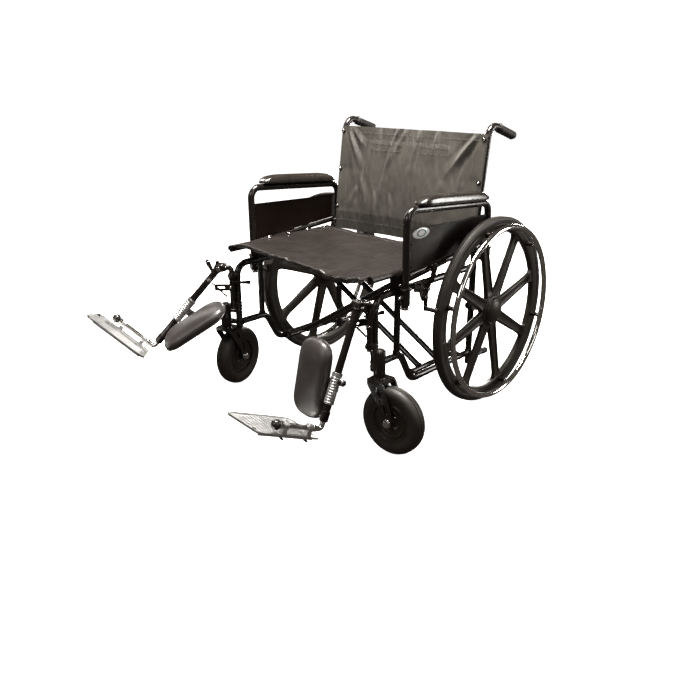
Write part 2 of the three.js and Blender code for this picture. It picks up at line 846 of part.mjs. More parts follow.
// ---------------------------------------------------------------- both sides
for (const side of ['left', 'right']) {
  add(chair, side, 'front_post', frontPost(), FRAME_BLACK);
  add(chair, side, 'top_rail', topRail(), FRAME_BLACK);
  add(chair, side, 'lower_rail', lowerRail(), FRAME_BLACK);
  add(chair, side, 'back_cane', backCane(), FRAME_BLACK);
  add(chair, side, 'push_grip', pushGrip(), GRIP_RUBBER);

  const axle = place(chair, side, [0, 0, AXLE_Z]);
  add(axle, side, 'rear_axle', rearAxle(), CHROME);
  add(axle, side, 'rear_tyre', rearTyre(), TYRE_RUBBER);
  add(axle, side, 'rear_wheel', rearWheel(SPOKE_PHASE[side]), WHEEL_PLASTIC);
  add(axle, side, 'handrim', handrim(), CHROME);

  const swivel = CASTER_SWIVEL[side] * DEGREE;
  const stem = place(chair, side, [CASTER.x, CASTER.y, 0], [0, 0, swivel]);
  add(stem, side, 'caster_fork', casterFork(), FRAME_BLACK);
  add(stem, side, 'caster_wheel', casterWheel(), WHEEL_PLASTIC);
  add(stem, side, 'caster_tyre', casterTyre(), TYRE_RUBBER);

  add(chair, side, 'arm_frame', armFrame(), FRAME_BLACK);
  add(chair, side, 'arm_panel', armPanel(), BLACK_PLASTIC);
  add(chair, side, 'arm_pad', armPad(), PAD_BLACK);

  add(chair, side, 'brake_body', brakeBody(), CHROME);
  add(chair, side, 'brake_lever', brakeLever(), BLACK_PLASTIC);
  add(chair, side, 'brake_shoe', brakeShoe(), CHROME);

  const pose = LEG_POSE[side];
  const swing = place(chair, side, [HANGER.x, HANGER.y, 0], [0, 0, pose.swing * DEGREE]);
  add(swing, side, 'hanger', hanger(), FRAME_BLACK);
  add(swing, side, 'swing_latch', swingLatch(), BLACK_PLASTIC);
  const leverHinge = place(swing, side, [0, HANGER.pivotY - 10, HANGER.armZ + 10]);
  add(leverHinge, side, 'ratchet_lever', ratchetLever(LEVER_GRIP[side]), BLACK_PLASTIC);

  const raise = -pose.raise * DEGREE;
  const knee = place(swing, side, [0, HANGER.pivotY, HANGER.armZ], [raise, 0, 0]);
  add(knee, side, 'leg_tube', legTube(), FRAME_BLACK);
  add(knee, side, 'foot_tube', footTube(), CHROME);
  const plateHinge = place(knee, side, [0, 0, -LEG.length], [0, pose.plate * DEGREE, 0]);
  add(plateHinge, side, 'footplate', footplate(), ALUMINIUM);
  const rodTurn = (90 - RATCHET.slope) * DEGREE - raise;
  const rodEnd = place(knee, side, [0, 0, -RATCHET.along], [rodTurn, 0, 0]);
  add(rodEnd, side, 'ratchet_rod', ratchetRod(), CHROME);
  const rest = CALF_POSE[side];
  const calf = place(knee, side, [0, 0, rest.z], [0, 0, rest.turn * DEGREE]);
  add(calf, side, 'calf_bracket', calfBracket(rest), ALUMINIUM);
  const cushion = place(calf, side, [rest.x, rest.y, 0], [rest.tilt * DEGREE, 0, 0]);
  add(cushion, side, 'calf_pad', calfPad(), VINYL);
}

// ---------------------------------------------------------------- parts across the chair
add(chair, null, 'brace_a', brace(BRACE_ROWS.a), FRAME_BLACK);
const braceB = mirrored(brace(BRACE_ROWS.b));
add(chair, null, 'brace_b', braceB, FRAME_BLACK);
add(chair, null, 'brace_bolt', braceBolt(), CHROME);
add(chair, null, 'seat_sling', seatSling(), VINYL);
add(chair, null, 'back_sling', backSling(), VINYL);

// The origin is at the centre of the footprint, on the ground.
const bounds = new THREE.Box3().setFromObject(chair);
const centre = bounds.getCenter(new THREE.Vector3());
chair.position.set(-centre.x, -centre.y, -bounds.min.z);

export default chair;
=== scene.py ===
"""Looks for the folding wheelchair: every visible piece, its materials, the light and the camera.

Side pieces are drawn once, in millimetres, for the user's left side (+X); a matrix puts them in place and
mirrors them for the right side. Forward is -Y and the wheels stand on Z = 0.
"""

import json
import math

import bmesh
import bpy
from mathutils import Matrix, Vector, noise
from mathutils.geometry import tessellate_polygon


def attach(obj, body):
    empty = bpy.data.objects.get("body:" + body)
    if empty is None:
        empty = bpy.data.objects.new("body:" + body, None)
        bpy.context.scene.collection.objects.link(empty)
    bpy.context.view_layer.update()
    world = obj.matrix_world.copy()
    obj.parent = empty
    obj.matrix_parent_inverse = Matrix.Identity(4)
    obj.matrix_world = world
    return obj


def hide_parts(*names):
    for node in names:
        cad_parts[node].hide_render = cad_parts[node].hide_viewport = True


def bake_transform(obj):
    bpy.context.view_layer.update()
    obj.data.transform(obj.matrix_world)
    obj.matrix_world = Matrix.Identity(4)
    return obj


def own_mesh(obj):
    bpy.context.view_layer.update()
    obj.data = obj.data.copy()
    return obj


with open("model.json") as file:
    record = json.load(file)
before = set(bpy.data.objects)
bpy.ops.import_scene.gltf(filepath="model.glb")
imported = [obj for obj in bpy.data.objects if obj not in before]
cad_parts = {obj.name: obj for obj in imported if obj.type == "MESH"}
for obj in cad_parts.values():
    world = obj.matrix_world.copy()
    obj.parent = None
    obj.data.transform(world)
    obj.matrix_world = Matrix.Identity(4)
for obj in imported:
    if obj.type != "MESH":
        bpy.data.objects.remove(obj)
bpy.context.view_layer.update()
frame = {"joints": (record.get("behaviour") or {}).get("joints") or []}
JOINTS = {joint["name"]: joint for joint in frame["joints"]}
MM = 0.001
TAU = 2 * math.pi
UP = Vector((0, 0, 1))
LEFT, RIGHT, FRONT, REAR = (1, 0, 0), (-1, 0, 0), (0, -1, 0), (0, 1, 0)
SIDES = (("left", 1), ("right", -1))

# ---------------------------------------------------------------- driving dimensions, millimetres
FRAME_X = 298
TUBE = 11
AXLE_Z = 305
TOP_RAIL_Z = 440
SEAT_RAIL_Z = 494
SEAT_RAIL = 10
LOWER_RAIL_Z = 142
RAIL_STEP_Z = 240
TIP_LEVER_Z = 119
FRONT_POST_Y = -499
MIDDLE_POST_Y = -396
CANE_BEND_Z = 557
CANE_TOP = Vector((FRAME_X, 46, 885))
HANDLE_END = Vector((FRAME_X, 199, 839))
WHEEL_X = 371.6
HANDRIM_X, HANDRIM_RADIUS, HANDRIM_TUBE = 415.7, 275.6, 9
SPOKE_PHASE = {"left": 15, "right": 27.5}
CASTER_X, CASTER_Y, CASTER_RADIUS, TRAIL = 338, -523, 101.6, 53
ARM_X, ARM_FRONT_Y, ARM_REAR_Y = 326.6, -398, 22
ARM_SLOPE, ARM_FRONT_TOP_Z = -0.067, 675
BRACE_PIVOT = Vector((272, 0, 146))
BRACE_ROWS = {"a": (-236, -140), "b": (-212, -116)}
HANGER_Y, HANGER_X, HANGER_ARM_Z, PIVOT_Y = -521, 299, 433, -39
LEG_LENGTH, LEG_END = 366, 338
FOOT_REACH, PLATE_DROP = 140, 24
# How far each footplate is tipped up, in degrees.
PLATE_TURN = {"left": 0, "right": 15}
# Each calf pad's turn round the leg tube, then its place beside it and its tilt on the bracket.
PAD_TURN = {"left": 9, "right": -15}
PAD_MOUNT = {"left": (-88, 4, 11), "right": (-80, 40, -17)}
# Where each release lever's grip starts and ends, as (y, z) from its hinge.
LEVER_GRIP = {"left": ((39, -8), (20, -78)), "right": ((-18, -34), (-36, 8))}
RATCHET_X, RATCHET_ALONG, RATCHET_SLOPE = 16, 50, 46
# Where the slings are screwed down: along the seat rails, and up the canes.
SEAT_SCREWS_Y = (-351, -257, -167, -78)
BACK_SCREWS_Z = (837, 706, 574)


def arm_top(y):
    return ARM_FRONT_TOP_Z + ARM_SLOPE * (y - ARM_FRONT_Y)


def cane_y(z):
    lean = CANE_TOP.y / (CANE_TOP.z - CANE_BEND_Z)
    return max(0.0, (z - CANE_BEND_Z) * lean)


# ---------------------------------------------------------------- solids: (points, faces)
def angles(count):
    return [k * TAU / count for k in range(count)]


def around(side, over, angle):
    return math.cos(angle) * side + math.sin(angle) * over


def joined(solids):
    points, faces = [], []
    for solid_points, solid_faces in solids:
        start = len(points)
        points += solid_points
        faces += [tuple(start + i for i in face) for face in solid_faces]
    return points, faces


def moved(solid, matrix):
    return [matrix @ p for p in solid[0]], solid[1]


def loft(rings, closed=False):
    """A skin over rings of equal count. It is capped at both ends, or closes on itself."""
    count = len(rings[0])
    points = [Vector(p) for ring in rings for p in ring]
    faces = []
    for i in range(len(rings) if closed else len(rings) - 1):
        a = i * count
        b = (i + 1) % len(rings) * count
        for k in range(count):
            n = (k + 1) % count
            faces.append((a + k, a + n, b + n, b + k))
    if not closed:
        faces.append(tuple(reversed(range(count))))
        faces.append(tuple(range(len(points) - count, len(points))))
    return points, faces


def square_to(axis):
    axis = Vector(axis).normalized()
    side = axis.cross(UP)
    if side.length < 0.1:
        side = Vector((1, 0, 0))
    side.normalize()
    return side, axis.cross(side)


def sweep(path, radius, sides=20):
    """A round tube along a path; radius is one number or one for each point."""
    path = [Vector(p) for p in path]
    last = len(path) - 1
    radii = radius if isinstance(radius, (list, tuple)) else [radius] * len(path)
    side = None
    rings = []
    for i, p in enumerate(path):
        ahead = (path[min(i + 1, last)] - path[max(i - 1, 0)]).normalized()
        side = square_to(ahead)[0] if side is None else (side - ahead * side.dot(ahead)).normalized()
        over = ahead.cross(side)
        rings.append([p + radii[i] * around(side, over, a) for a in angles(sides)])
    return loft(rings)


def rod(a, b, radius, sides=20):
    return sweep([a, b], radius, sides)


def bent(corners, bend, steps=8):
    """Corner points with each inner corner rounded to the bend radius."""
    corners = [Vector(c) for c in corners]
    path = [corners[0]]
    for before, corner, after in zip(corners, corners[1:], corners[2:]):
        back = (before - corner).normalized()
        onward = (after - corner).normalized()
        turn = math.pi - back.angle(onward)
        centre = corner + (back + onward).normalized() * bend / math.cos(turn / 2)
        spoke = corner + back * bend * math.tan(turn / 2) - centre
        axis = back.cross(onward).normalized()
        path += [centre + Matrix.Rotation(-turn * k / steps, 3, axis) @ spoke for k in range(steps + 1)]
    path.append(corners[-1])
    return path


# A point on a lathe's axis is kept this far off it, so that no face collapses.
PIN_HOLE = 0.15


def lathe(profile, origin=(0, 0, 0), axis=LEFT, sides=48, closed=False):
    """Profile points are (radius, place along the axis)."""
    origin = Vector(origin)
    axis = Vector(axis).normalized()
    side, over = square_to(axis)
    rings = []
    for r, along in profile:
        r = max(r, PIN_HOLE)
        rings.append([origin + axis * along + r * around(side, over, a) for a in angles(sides)])
    return loft(rings, closed)


def drum(origin, axis, radius, low, high, sides=24):
    """A plain cylinder, from low to high along its axis."""
    return lathe([(0, low), (radius, low), (radius, high), (0, high)], origin, axis, sides)


def mirrored(profile):
    """The same profile on the other side of its middle, in reverse order, so that the two join."""
    return [(r, -along) for r, along in reversed(profile)]


PLANES = {
    "xy": lambda u, v, w: Vector((u, v, w)),
    "yz": lambda u, v, w: Vector((w, u, v)),
    "xz": lambda u, v, w: Vector((u, w, v)),
}


def slab(outline, low, high, plane="xy", holes=()):
    """A flat outline with holes, given a thickness from low to high."""
    put = PLANES[plane]
    loops = [list(outline)] + [list(hole) for hole in holes]
    flat = [p for loop in loops for p in loop]
    points = [put(u, v, low) for u, v in flat] + [put(u, v, high) for u, v in flat]
    total = len(flat)
    faces = []
    for triangle in tessellate_polygon([[Vector((u, v, 0)) for u, v in loop] for loop in loops]):
        faces.append(tuple(triangle))
        faces.append(tuple(total + i for i in reversed(triangle)))
    start = 0
    for loop in loops:
        count = len(loop)
        for k in range(count):
            a, b = start + k, start + (k + 1) % count
            faces.append((a, b, total + b, total + a))
        start += count
    return points, faces


def corners(low_u, low_v, high_u, high_v):
    return [(low_u, low_v), (high_u, low_v), (high_u, high_v), (low_u, high_v)]


def box(low, high):
    return slab(corners(low[0], low[1], high[0], high[1]), low[2], high[2])


def oval(u, v, half_u, half_v, count=48):
    return [(u + half_u * math.cos(a), v + half_v * math.sin(a)) for a in angles(count)]


def circle(u, v, radius, count=24):
    return oval(u, v, radius, radius, count)


def soften(outline, radius, steps=5):
    """Rounds each corner of a flat outline; radius is one number or one for each corner."""
    result = []
    count = len(outline)
    for i, point in enumerate(outline):
        r = radius[i] if isinstance(radius, (list, tuple)) else radius
        corner = Vector(point)
        back = Vector(outline[i - 1]) - corner
        onward = Vector(outline[(i + 1) % count]) - corner
        reach = min(r, back.length * 0.45, onward.length * 0.45)
        a = corner + back.normalized() * reach
        b = corner + onward.normalized() * reach
        for k in range(steps + 1):
            t = k / steps
            p = a * (1 - t) ** 2 + corner * 2 * t * (1 - t) + b * t * t
            result.append((p.x, p.y))
    return result


def link(a, ra, b, rb, steps=10):
    """The outline round two circles."""
    ax, ay = a
    bx, by = b
    heading = math.atan2(by - ay, bx - ax)
    spread = math.acos(max(-1.0, min(1.0, (ra - rb) / math.hypot(bx - ax, by - ay))))
    outline = []
    for (x, y), r, start, end in (((ax, ay), ra, spread, TAU - spread), ((bx, by), rb, -spread, spread)):
        for k in range(steps + 1):
            angle = heading + start + (end - start) * k / steps
            outline.append((x + r * math.cos(angle), y + r * math.sin(angle)))
    return outline


def capsule(a, b, half):
    return link(a, half, b, half, 8)


def screw(origin, axis, radius, height=None):
    """A domed head with a recess, standing on the origin."""
    h = height or radius * 0.62
    profile = [(0, h * 0.35), (radius * 0.36, h * 0.35), (radius * 0.42, h), (radius * 0.7, h * 0.86),
               (radius * 0.92, h * 0.5), (radius, h * 0.1), (radius, -0.8), (0, -0.8)]
    return lathe(profile, origin, axis, 20)


def washer(origin, axis, radius, height=1.6):
    profile = [(0, height), (radius - 0.7, height), (radius, height - 0.6), (radius, 0), (0, 0)]
    return lathe(profile, origin, axis, 28)


def nut(origin, axis, radius, height):
    """A hexagon head with chamfered corners."""
    profile = [(0, height), (radius * 0.82, height), (radius, height * 0.86), (radius, 0), (0, 0)]
    return lathe(profile, origin, axis, 6)


def weld(origin, axis, ring, bead=2.2, count=72):
    """A rippled bead round a joint."""
    origin = Vector(origin)
    axis = Vector(axis).normalized()
    side, over = square_to(axis)
    rings = []
    for i in range(count):
        angle = i * TAU / count
        out = around(side, over, angle)
        size = bead * (1 + 0.14 * math.sin(i * TAU / 4))
        rings.append([origin + out * (ring + size * math.cos(a)) + axis * size * math.sin(a)
                      for a in angles(8)])
    return loft(rings, closed=True)


def sleeve(a, b, outer, inner, sides=32, lip=0.8):
    """A hollow sleeve with rounded lips."""
    a, b = Vector(a), Vector(b)
    length = (b - a).length
    profile = [(inner, lip), (inner + lip, 0), (outer - lip, 0), (outer, lip),
               (outer, length - lip), (outer - lip, length), (inner + lip, length), (inner, length - lip)]
    return lathe(profile, a, b - a, sides, closed=True)


def stitch_line(path, normals, pitch=4.6, thick=0.5):
    """Small raised stitches along a path."""
    solids = []
    carry = 0.0
    for a, b, normal in zip(path, path[1:], normals):
        length = (b - a).length
        if length < 1e-6:
            continue
        along = (b - a) / length
        while carry < length:
            start = a + along * carry
            raised = normal * 0.75
            stations = [start, start + along * 0.6 + raised, start + along * (pitch * 0.62 - 0.6) + raised,
                        start + along * pitch * 0.62]
            solids.append(sweep(stations, [thick * 0.6, thick, thick, thick * 0.6], 5))
            carry += pitch
        carry -= length
    return solids


# ---------------------------------------------------------------- materials
def node(tree, kind, **values):
    made = tree.nodes.new(kind)
    for name, value in values.items():
        if hasattr(made, name) and name not in made.inputs:
            setattr(made, name, value)
        else:
            made.inputs[name].default_value = value
    return made


def remap(tree, value, low, high, to_low, to_high):
    made = node(tree, "ShaderNodeMapRange",
                **{"From Min": low, "From Max": high, "To Min": to_low, "To Max": to_high})
    tree.links.new(value, made.inputs["Value"])
    return made.outputs["Result"]


def mixed(tree, factor, first, second):
    """A colour between two; a colour Mix node has its factor, colours and result at these places."""
    mix = node(tree, "ShaderNodeMix", data_type="RGBA")
    mix.inputs[6].default_value = (*first, 1)
    mix.inputs[7].default_value = (*second, 1)
    tree.links.new(factor, mix.inputs[0])
    return mix.outputs[2]


def painted(name, **values):
    """A new material, its tree and its shader, with the shader's inputs set."""
    material = bpy.data.materials.new(name)
    material.use_nodes = True
    shader = material.node_tree.nodes["Principled BSDF"]
    for label, value in values.items():
        shader.inputs[label.replace("_", " ")].default_value = value
    return material, material.node_tree, shader


FINISH = {}


def surface(name, color, tint, rough, metallic=0.0, specular=0.5, coat=0.0, sheen=0.0,
            mottle=18.0, grain=None, stretch=(1, 1, 1), bump=0.1):
    """One finish: colour mottled towards a tint, uneven roughness, and a fine relief.

    rough is (low, high); grain is (kind, cells per metre, depth in mm)."""
    material, tree, shader = painted(name, Metallic=metallic, Specular_IOR_Level=specular, Coat_Weight=coat,
                                     Coat_Roughness=0.12, Sheen_Weight=sheen, Sheen_Roughness=0.4)
    wire = tree.links.new
    place = node(tree, "ShaderNodeTexCoord")
    mapping = node(tree, "ShaderNodeMapping", Scale=stretch)
    wire(place.outputs["Object"], mapping.inputs["Vector"])

    def noise_of(**values):
        cloud = node(tree, "ShaderNodeTexNoise", **values)
        wire(mapping.outputs["Vector"], cloud.inputs["Vector"])
        return cloud.outputs["Fac"]

    share = remap(tree, noise_of(Scale=mottle, Detail=6.0, Roughness=0.62), 0.35, 0.68, 0.0, 1.0)
    wire(mixed(tree, share, color, tint), shader.inputs["Base Color"])
    wire(remap(tree, noise_of(Scale=mottle * 2.7, Detail=4.0), 0.3, 0.7, *rough), shader.inputs["Roughness"])
    if grain:
        kind, cells, depth = grain
        if kind == "leather":
            relief = node(tree, "ShaderNodeTexVoronoi", feature="SMOOTH_F1", Scale=cells)
            wire(mapping.outputs["Vector"], relief.inputs["Vector"])
            height = relief.outputs["Distance"]
        else:
            height = noise_of(Scale=cells, Detail=3.0)
        lift = node(tree, "ShaderNodeBump", Strength=bump, Distance=depth * MM)
        wire(height, lift.inputs["Height"])
        wire(lift.outputs["Normal"], shader.inputs["Normal"])
    FINISH[name] = material


surface("frame_black", (0.007, 0.0050, 0.0042), (0.013, 0.010, 0.0085), (0.17, 0.28),
        coat=0.2, grain=("noise", 260, 0.4), bump=0.22)
surface("chrome", (0.78, 0.77, 0.75), (0.64, 0.63, 0.62), (0.06, 0.16),
        metallic=1.0, mottle=40, grain=("noise", 90, 0.05), bump=0.08)
surface("aluminium", (0.66, 0.66, 0.65), (0.50, 0.50, 0.50), (0.34, 0.46),
        metallic=1.0, mottle=55, grain=("noise", 1400, 0.15), bump=0.3, stretch=(1, 0.25, 1))
surface("wheel_plastic", (0.016, 0.013, 0.010), (0.030, 0.024, 0.018), (0.30, 0.44),
        specular=0.42, grain=("noise", 1500, 0.2), bump=0.35)
surface("trim_plastic", (0.007, 0.0034, 0.0026), (0.011, 0.006, 0.0045), (0.30, 0.44),
        specular=0.2, grain=("leather", 1500, 0.2), bump=0.4)
surface("arm_pad", (0.014, 0.011, 0.009), (0.024, 0.020, 0.017), (0.17, 0.28),
        specular=0.8, coat=0.35, grain=("leather", 900, 0.12), bump=0.22)
surface("tyre", (0.016, 0.013, 0.011), (0.030, 0.026, 0.022), (0.42, 0.6),
        specular=0.4, grain=("noise", 1100, 0.35), bump=0.5)
surface("grip", (0.018, 0.016, 0.015), (0.034, 0.030, 0.028), (0.42, 0.6),
        specular=0.4, grain=("leather", 1300, 0.3), bump=0.45)
surface("back_vinyl", (0.068, 0.063, 0.054), (0.100, 0.093, 0.080), (0.28, 0.40),
        specular=0.8, sheen=0.04, mottle=9, grain=("leather", 620, 0.55), bump=0.6)
surface("seat_vinyl", (0.013, 0.010, 0.0085), (0.022, 0.017, 0.0145), (0.27, 0.38),
        specular=0.45, sheen=0.05, mottle=10, grain=("leather", 700, 0.45), bump=0.5)
surface("calf_vinyl", (0.030, 0.026, 0.025), (0.046, 0.040, 0.038), (0.30, 0.40),
        specular=0.7, sheen=0.03, mottle=12, grain=("leather", 650, 0.5), bump=0.6)
surface("thread", (0.16, 0.15, 0.135), (0.24, 0.23, 0.21), (0.6, 0.8),
        mottle=200, grain=("noise", 2500, 0.2))
surface("gloss_black", (0.012, 0.010, 0.009), (0.020, 0.017, 0.015), (0.08, 0.16), coat=0.4)
surface("badge_white", (0.95, 0.96, 0.95), (0.90, 0.92, 0.92), (0.15, 0.25), coat=0.5)
surface("badge_ring", (0.055, 0.16, 0.19), (0.09, 0.24, 0.27), (0.18, 0.3), coat=0.5, mottle=60)


# ---------------------------------------------------------------- pieces
def shaped(name, place, solids, smooth=38):
    """An object with smooth faces and sharp edges, its points already in place in metres."""
    points, faces = joined(solids)
    mesh = bpy.data.meshes.new(name)
    mesh.from_pydata([place @ Vector(p) for p in points], [], faces)
    work = bmesh.new()
    work.from_mesh(mesh)
    bmesh.ops.recalc_face_normals(work, faces=work.faces)
    limit = math.radians(smooth)
    for face in work.faces:
        face.smooth = True
    for edge in work.edges:
        edge.smooth = len(edge.link_faces) == 2 and edge.calc_face_angle(0) < limit
    work.to_mesh(mesh)
    work.free()
    made = bpy.data.objects.new(name, mesh)
    bpy.context.scene.collection.objects.link(made)
    return made


def piece(name, place, body, slot, solids, replaces=(), bevel=0.7, finish=None, smooth=38):
    """One visible object; its finish is the one of its slot, unless another is named."""
    made = shaped(name, place, solids, smooth)
    made.data.materials.append(FINISH[finish or slot])
    if bevel:
        edge = made.modifiers.new("edge", "BEVEL")
        edge.width = bevel * MM
        edge.segments = 2
        edge.limit_method = "ANGLE"
        edge.angle_limit = math.radians(smooth)
    if body:
        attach(made, body)
    if replaces:
        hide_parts(*replaces)
    return made


def maker(side, place, body):
    """A short piece() for one body of one side: label, body and CAD nodes are given without the side."""
    def put(label, slot, solids, *nodes, **options):
        replaces = [f"{side}_{name}" for name in nodes]
        return piece(f"{side}_{label}", place, f"{side}_{body}", slot, solids, replaces, **options)
    return put


ORIGIN = Vector(JOINTS["left_wheel_roll"]["pos_m"]) - Vector((WHEEL_X, 0, AXLE_Z)) * MM


def chair_place(m):
    """From the chair's millimetres to metres; m is -1 where the left form is mirrored."""
    return Matrix.Translation(ORIGIN) @ Matrix.Diagonal((m * MM, MM, MM, 1))


def places(side, m):
    """The matrices from each part's own millimetres to metres, read from the frame's joints."""
    chair = chair_place(m)
    raise_axis = Vector(JOINTS[f"{side}_leg_raise"]["axis"])
    slide_axis = Vector(JOINTS[f"{side}_foot_slide"]["axis"])
    roll_axis = Vector(JOINTS[f"{side}_caster_roll"]["axis"])
    swing = math.atan2(-m * raise_axis.y, -raise_axis.x)
    lift = math.acos(-slide_axis.z)
    gap = Vector(JOINTS[f"{side}_calf_swing"]["pos_m"]) - Vector(JOINTS[f"{side}_leg_raise"]["pos_m"])
    turn = math.atan2(-m * roll_axis.x, roll_axis.y)
    hanger = chair @ Matrix.Translation((HANGER_X, HANGER_Y, 0)) @ Matrix.Rotation(swing, 4, "Z")
    knee = hanger @ Matrix.Translation((0, PIVOT_Y, HANGER_ARM_Z)) @ Matrix.Rotation(-lift, 4, "X")
    pad = Matrix.Translation((0, 0, -gap.length / MM)) @ Matrix.Rotation(math.radians(PAD_TURN[side]), 4, "Z")
    foot = Matrix.Translation((0, 0, -LEG_LENGTH)) @ Matrix.Rotation(math.radians(PLATE_TURN[side]), 4, "Y")
    rod_turn = math.radians(90 - RATCHET_SLOPE) + lift
    beside, out, tilt = PAD_MOUNT[side]
    mount = Matrix.Translation((beside, out, 0)) @ Matrix.Rotation(math.radians(tilt), 4, "X")
    return {
        "chair": chair,
        "axle": chair @ Matrix.Translation((0, 0, AXLE_Z)),
        "caster": chair @ Matrix.Translation((CASTER_X, CASTER_Y, 0)) @ Matrix.Rotation(turn, 4, "Z"),
        "hanger": hanger,
        "knee": knee,
        "calf": knee @ pad,
        "plate": knee @ foot,
        "pad": knee @ pad @ mount,
        "lever": hanger @ Matrix.Translation((0, PIVOT_Y - 10, HANGER_ARM_Z + 10)),
        "rod": knee @ Matrix.Translation((0, 0, -RATCHET_ALONG)) @ Matrix.Rotation(rod_turn, 4, "X"),
    }


# ---------------------------------------------------------------- side frame
def side_frame(side, at):
    put = maker(side, at["chair"], "frame")
    front_post(put)
    top_rail(put)
    lower_rail(put)
    back_cane(put)
    push_grip(put)
    rear_axle(put)
    brake_bracket(put)


def rings_round(x, y, heights, radius, bead=2.2):
    return [weld((x, y, z), UP, radius, bead) for z in heights]


def front_post(put):
    stem = (CASTER_X, CASTER_Y, 0)
    foot = (FRAME_X, FRONT_POST_Y)
    post = bent([(*foot, 228), (*foot, TOP_RAIL_Z), (FRAME_X, -430, TOP_RAIL_Z)], 42)
    lugs = [slab(link((HANGER_X, HANGER_Y), 14, foot, 10), z - 4, z + 4,
                 holes=[circle(HANGER_X, HANGER_Y, 9.8)])
            for z in (302, 404)]
    housing = lathe([(9.4, 222), (17, 222), (17.6, 223), (17.6, 299), (17, 300), (9.4, 300)], stem, UP, 40,
                    closed=True)
    gussets = [slab(soften([(292, -507), (332, -535), (344, -511), (304, -491)], 3), z, z + 12)
               for z in (236, 276)]
    beads = rings_round(*foot, (235, 249, 275, 289, 297, 307, 399, 409), 11.2, 2)
    put("front_post_weldment", "frame_black", [sweep(post, TUBE, 28), housing, *lugs, *gussets, *beads],
        "front_post")
    cap = [(0, 307), (6, 306.6), (11, 305), (15, 302.4), (16.6, 300.4), (16.6, 299.6), (0, 299.6)]
    plug = [(0, 228), (11.6, 228), (11.6, 224.5), (10, 221.5), (5, 220.4), (0, 220.2)]
    plug_places = ((FRONT_POST_Y, 0), (MIDDLE_POST_Y, 23), (0, -120))
    put("frame_caps", "trim_plastic", [
        lathe(cap, stem, UP, 36),
        *[lathe([(r, z + rise) for r, z in plug], (FRAME_X, y, 0), UP, 28) for y, rise in plug_places],
    ])


def top_rail(put):
    rail = rod((FRAME_X, -430, TOP_RAIL_Z), (FRAME_X, -9, TOP_RAIL_Z), TUBE, 28)
    middle = rod((FRAME_X, MIDDLE_POST_Y, 251), (FRAME_X, MIDDLE_POST_Y, TOP_RAIL_Z), TUBE - 1, 28)
    web = slab(soften([(298, -401), (313, -402), (313, -394), (298, -391)], 1), 408, 446)
    boss = lathe([(0, 12), (5, 12), (6.5, 10), (6.5, 0), (0, 0)], (ARM_X, ARM_FRONT_Y - 14, 428), FRONT, 24)
    put("top_rail_weldment", "frame_black", [
        rail, middle, *arm_socket(ARM_FRONT_Y, 402, 446), web, boss,
        *rings_round(FRAME_X, MIDDLE_POST_Y, (TOP_RAIL_Z - 11, RAIL_STEP_Z + 12), 10.2),
        weld((FRAME_X, -13, TOP_RAIL_Z), REAR, 11.2),
    ], "top_rail")
    arc = [math.radians(-6 - 168 * k / 14) for k in range(15)]
    cradle_arc = [(FRAME_X + 10.8 * math.cos(a), SEAT_RAIL_Z + 10.8 * math.sin(a)) for a in arc]
    cradle = [(284, 446), (312, 446), (313, 478), (312.4, 492), *cradle_arc, (283.6, 492), (283, 478)]
    saddle_rows = (-398, -88)
    put("seat_saddles", "trim_plastic", [slab(cradle, y - 18, y + 18, "xz") for y in saddle_rows])
    bolts = [screw((FRAME_X + 14.6, y + beside, 460), LEFT, 4.2) for y in saddle_rows for beside in (-8, 8)]
    bolts.append(screw((ARM_X, ARM_FRONT_Y - 26, 428), FRONT, 5, 4))
    bolts.append(screw((ARM_X + 15, ARM_REAR_Y, 482), LEFT, 4))
    put("frame_screws", "chrome", bolts)


def arm_socket(y, low, collar):
    """The socket of an armrest tube, with a collar round its mouth."""
    return [sleeve((ARM_X, y, low), (ARM_X, y, collar + 6), 15, 11.8),
            sleeve((ARM_X, y, collar), (ARM_X, y, collar + 7), 17, 11.8)]


def lower_rail(put):
    rail = bent([(FRAME_X, FRONT_POST_Y + 9, RAIL_STEP_Z), (FRAME_X, -378, RAIL_STEP_Z),
                 (FRAME_X, -322, LOWER_RAIL_Z), (FRAME_X, -9, LOWER_RAIL_Z)], 38)
    pivot = (BRACE_PIVOT.x, BRACE_PIVOT.z)
    ears = [slab(link(pivot, 13, (FRAME_X - 2, LOWER_RAIL_Z), 13), y, y + 8, "xz") for y in (-296.4, -61.6)]
    put("lower_rail_weldment", "frame_black", [
        sweep(rail, TUBE, 28), *ears,
        weld((FRAME_X, FRONT_POST_Y + 12, RAIL_STEP_Z), REAR, 11.2),
        weld((FRAME_X, -13, LOWER_RAIL_Z), REAR, 11.2),
    ], "lower_rail")
    heads = ((-296.4, FRONT), (-53.6, REAR))
    put("pivot_bolts", "chrome", [nut((BRACE_PIVOT.x, y, BRACE_PIVOT.z), axis, 7.5, 5) for y, axis in heads])


def back_cane(put):
    cane = bent([(FRAME_X, 0, 108), (FRAME_X, 0, CANE_BEND_Z), CANE_TOP, HANDLE_END - Vector((0, 5, -1.5))],
                38, 12)
    web = slab([(298, -7), (326.6, 10), (320.6, 30), (292, 7)], 464, 500)
    z = TIP_LEVER_Z
    lever = bent([(FRAME_X, 0, z), (FRAME_X, 60, z), (FRAME_X, 108, z)], 30)
    put("back_cane_weldment", "frame_black", [
        sweep(cane, TUBE, 28), sweep(lever, 9, 24), web, *arm_socket(ARM_REAR_Y, 458, 500),
        weld((FRAME_X, 12, z), REAR, 9.2),
    ], "back_cane")
    tip = [(9.2, 86), (11, 87), (11.4, 92), (11, 96), (11.4, 100), (11, 104), (11.2, 108), (9, 112),
           (4, 113.5), (0, 113.8), (0, 86)]
    put("tipping_tip", "grip", [lathe(tip, (FRAME_X, 0, z), REAR, 28)])


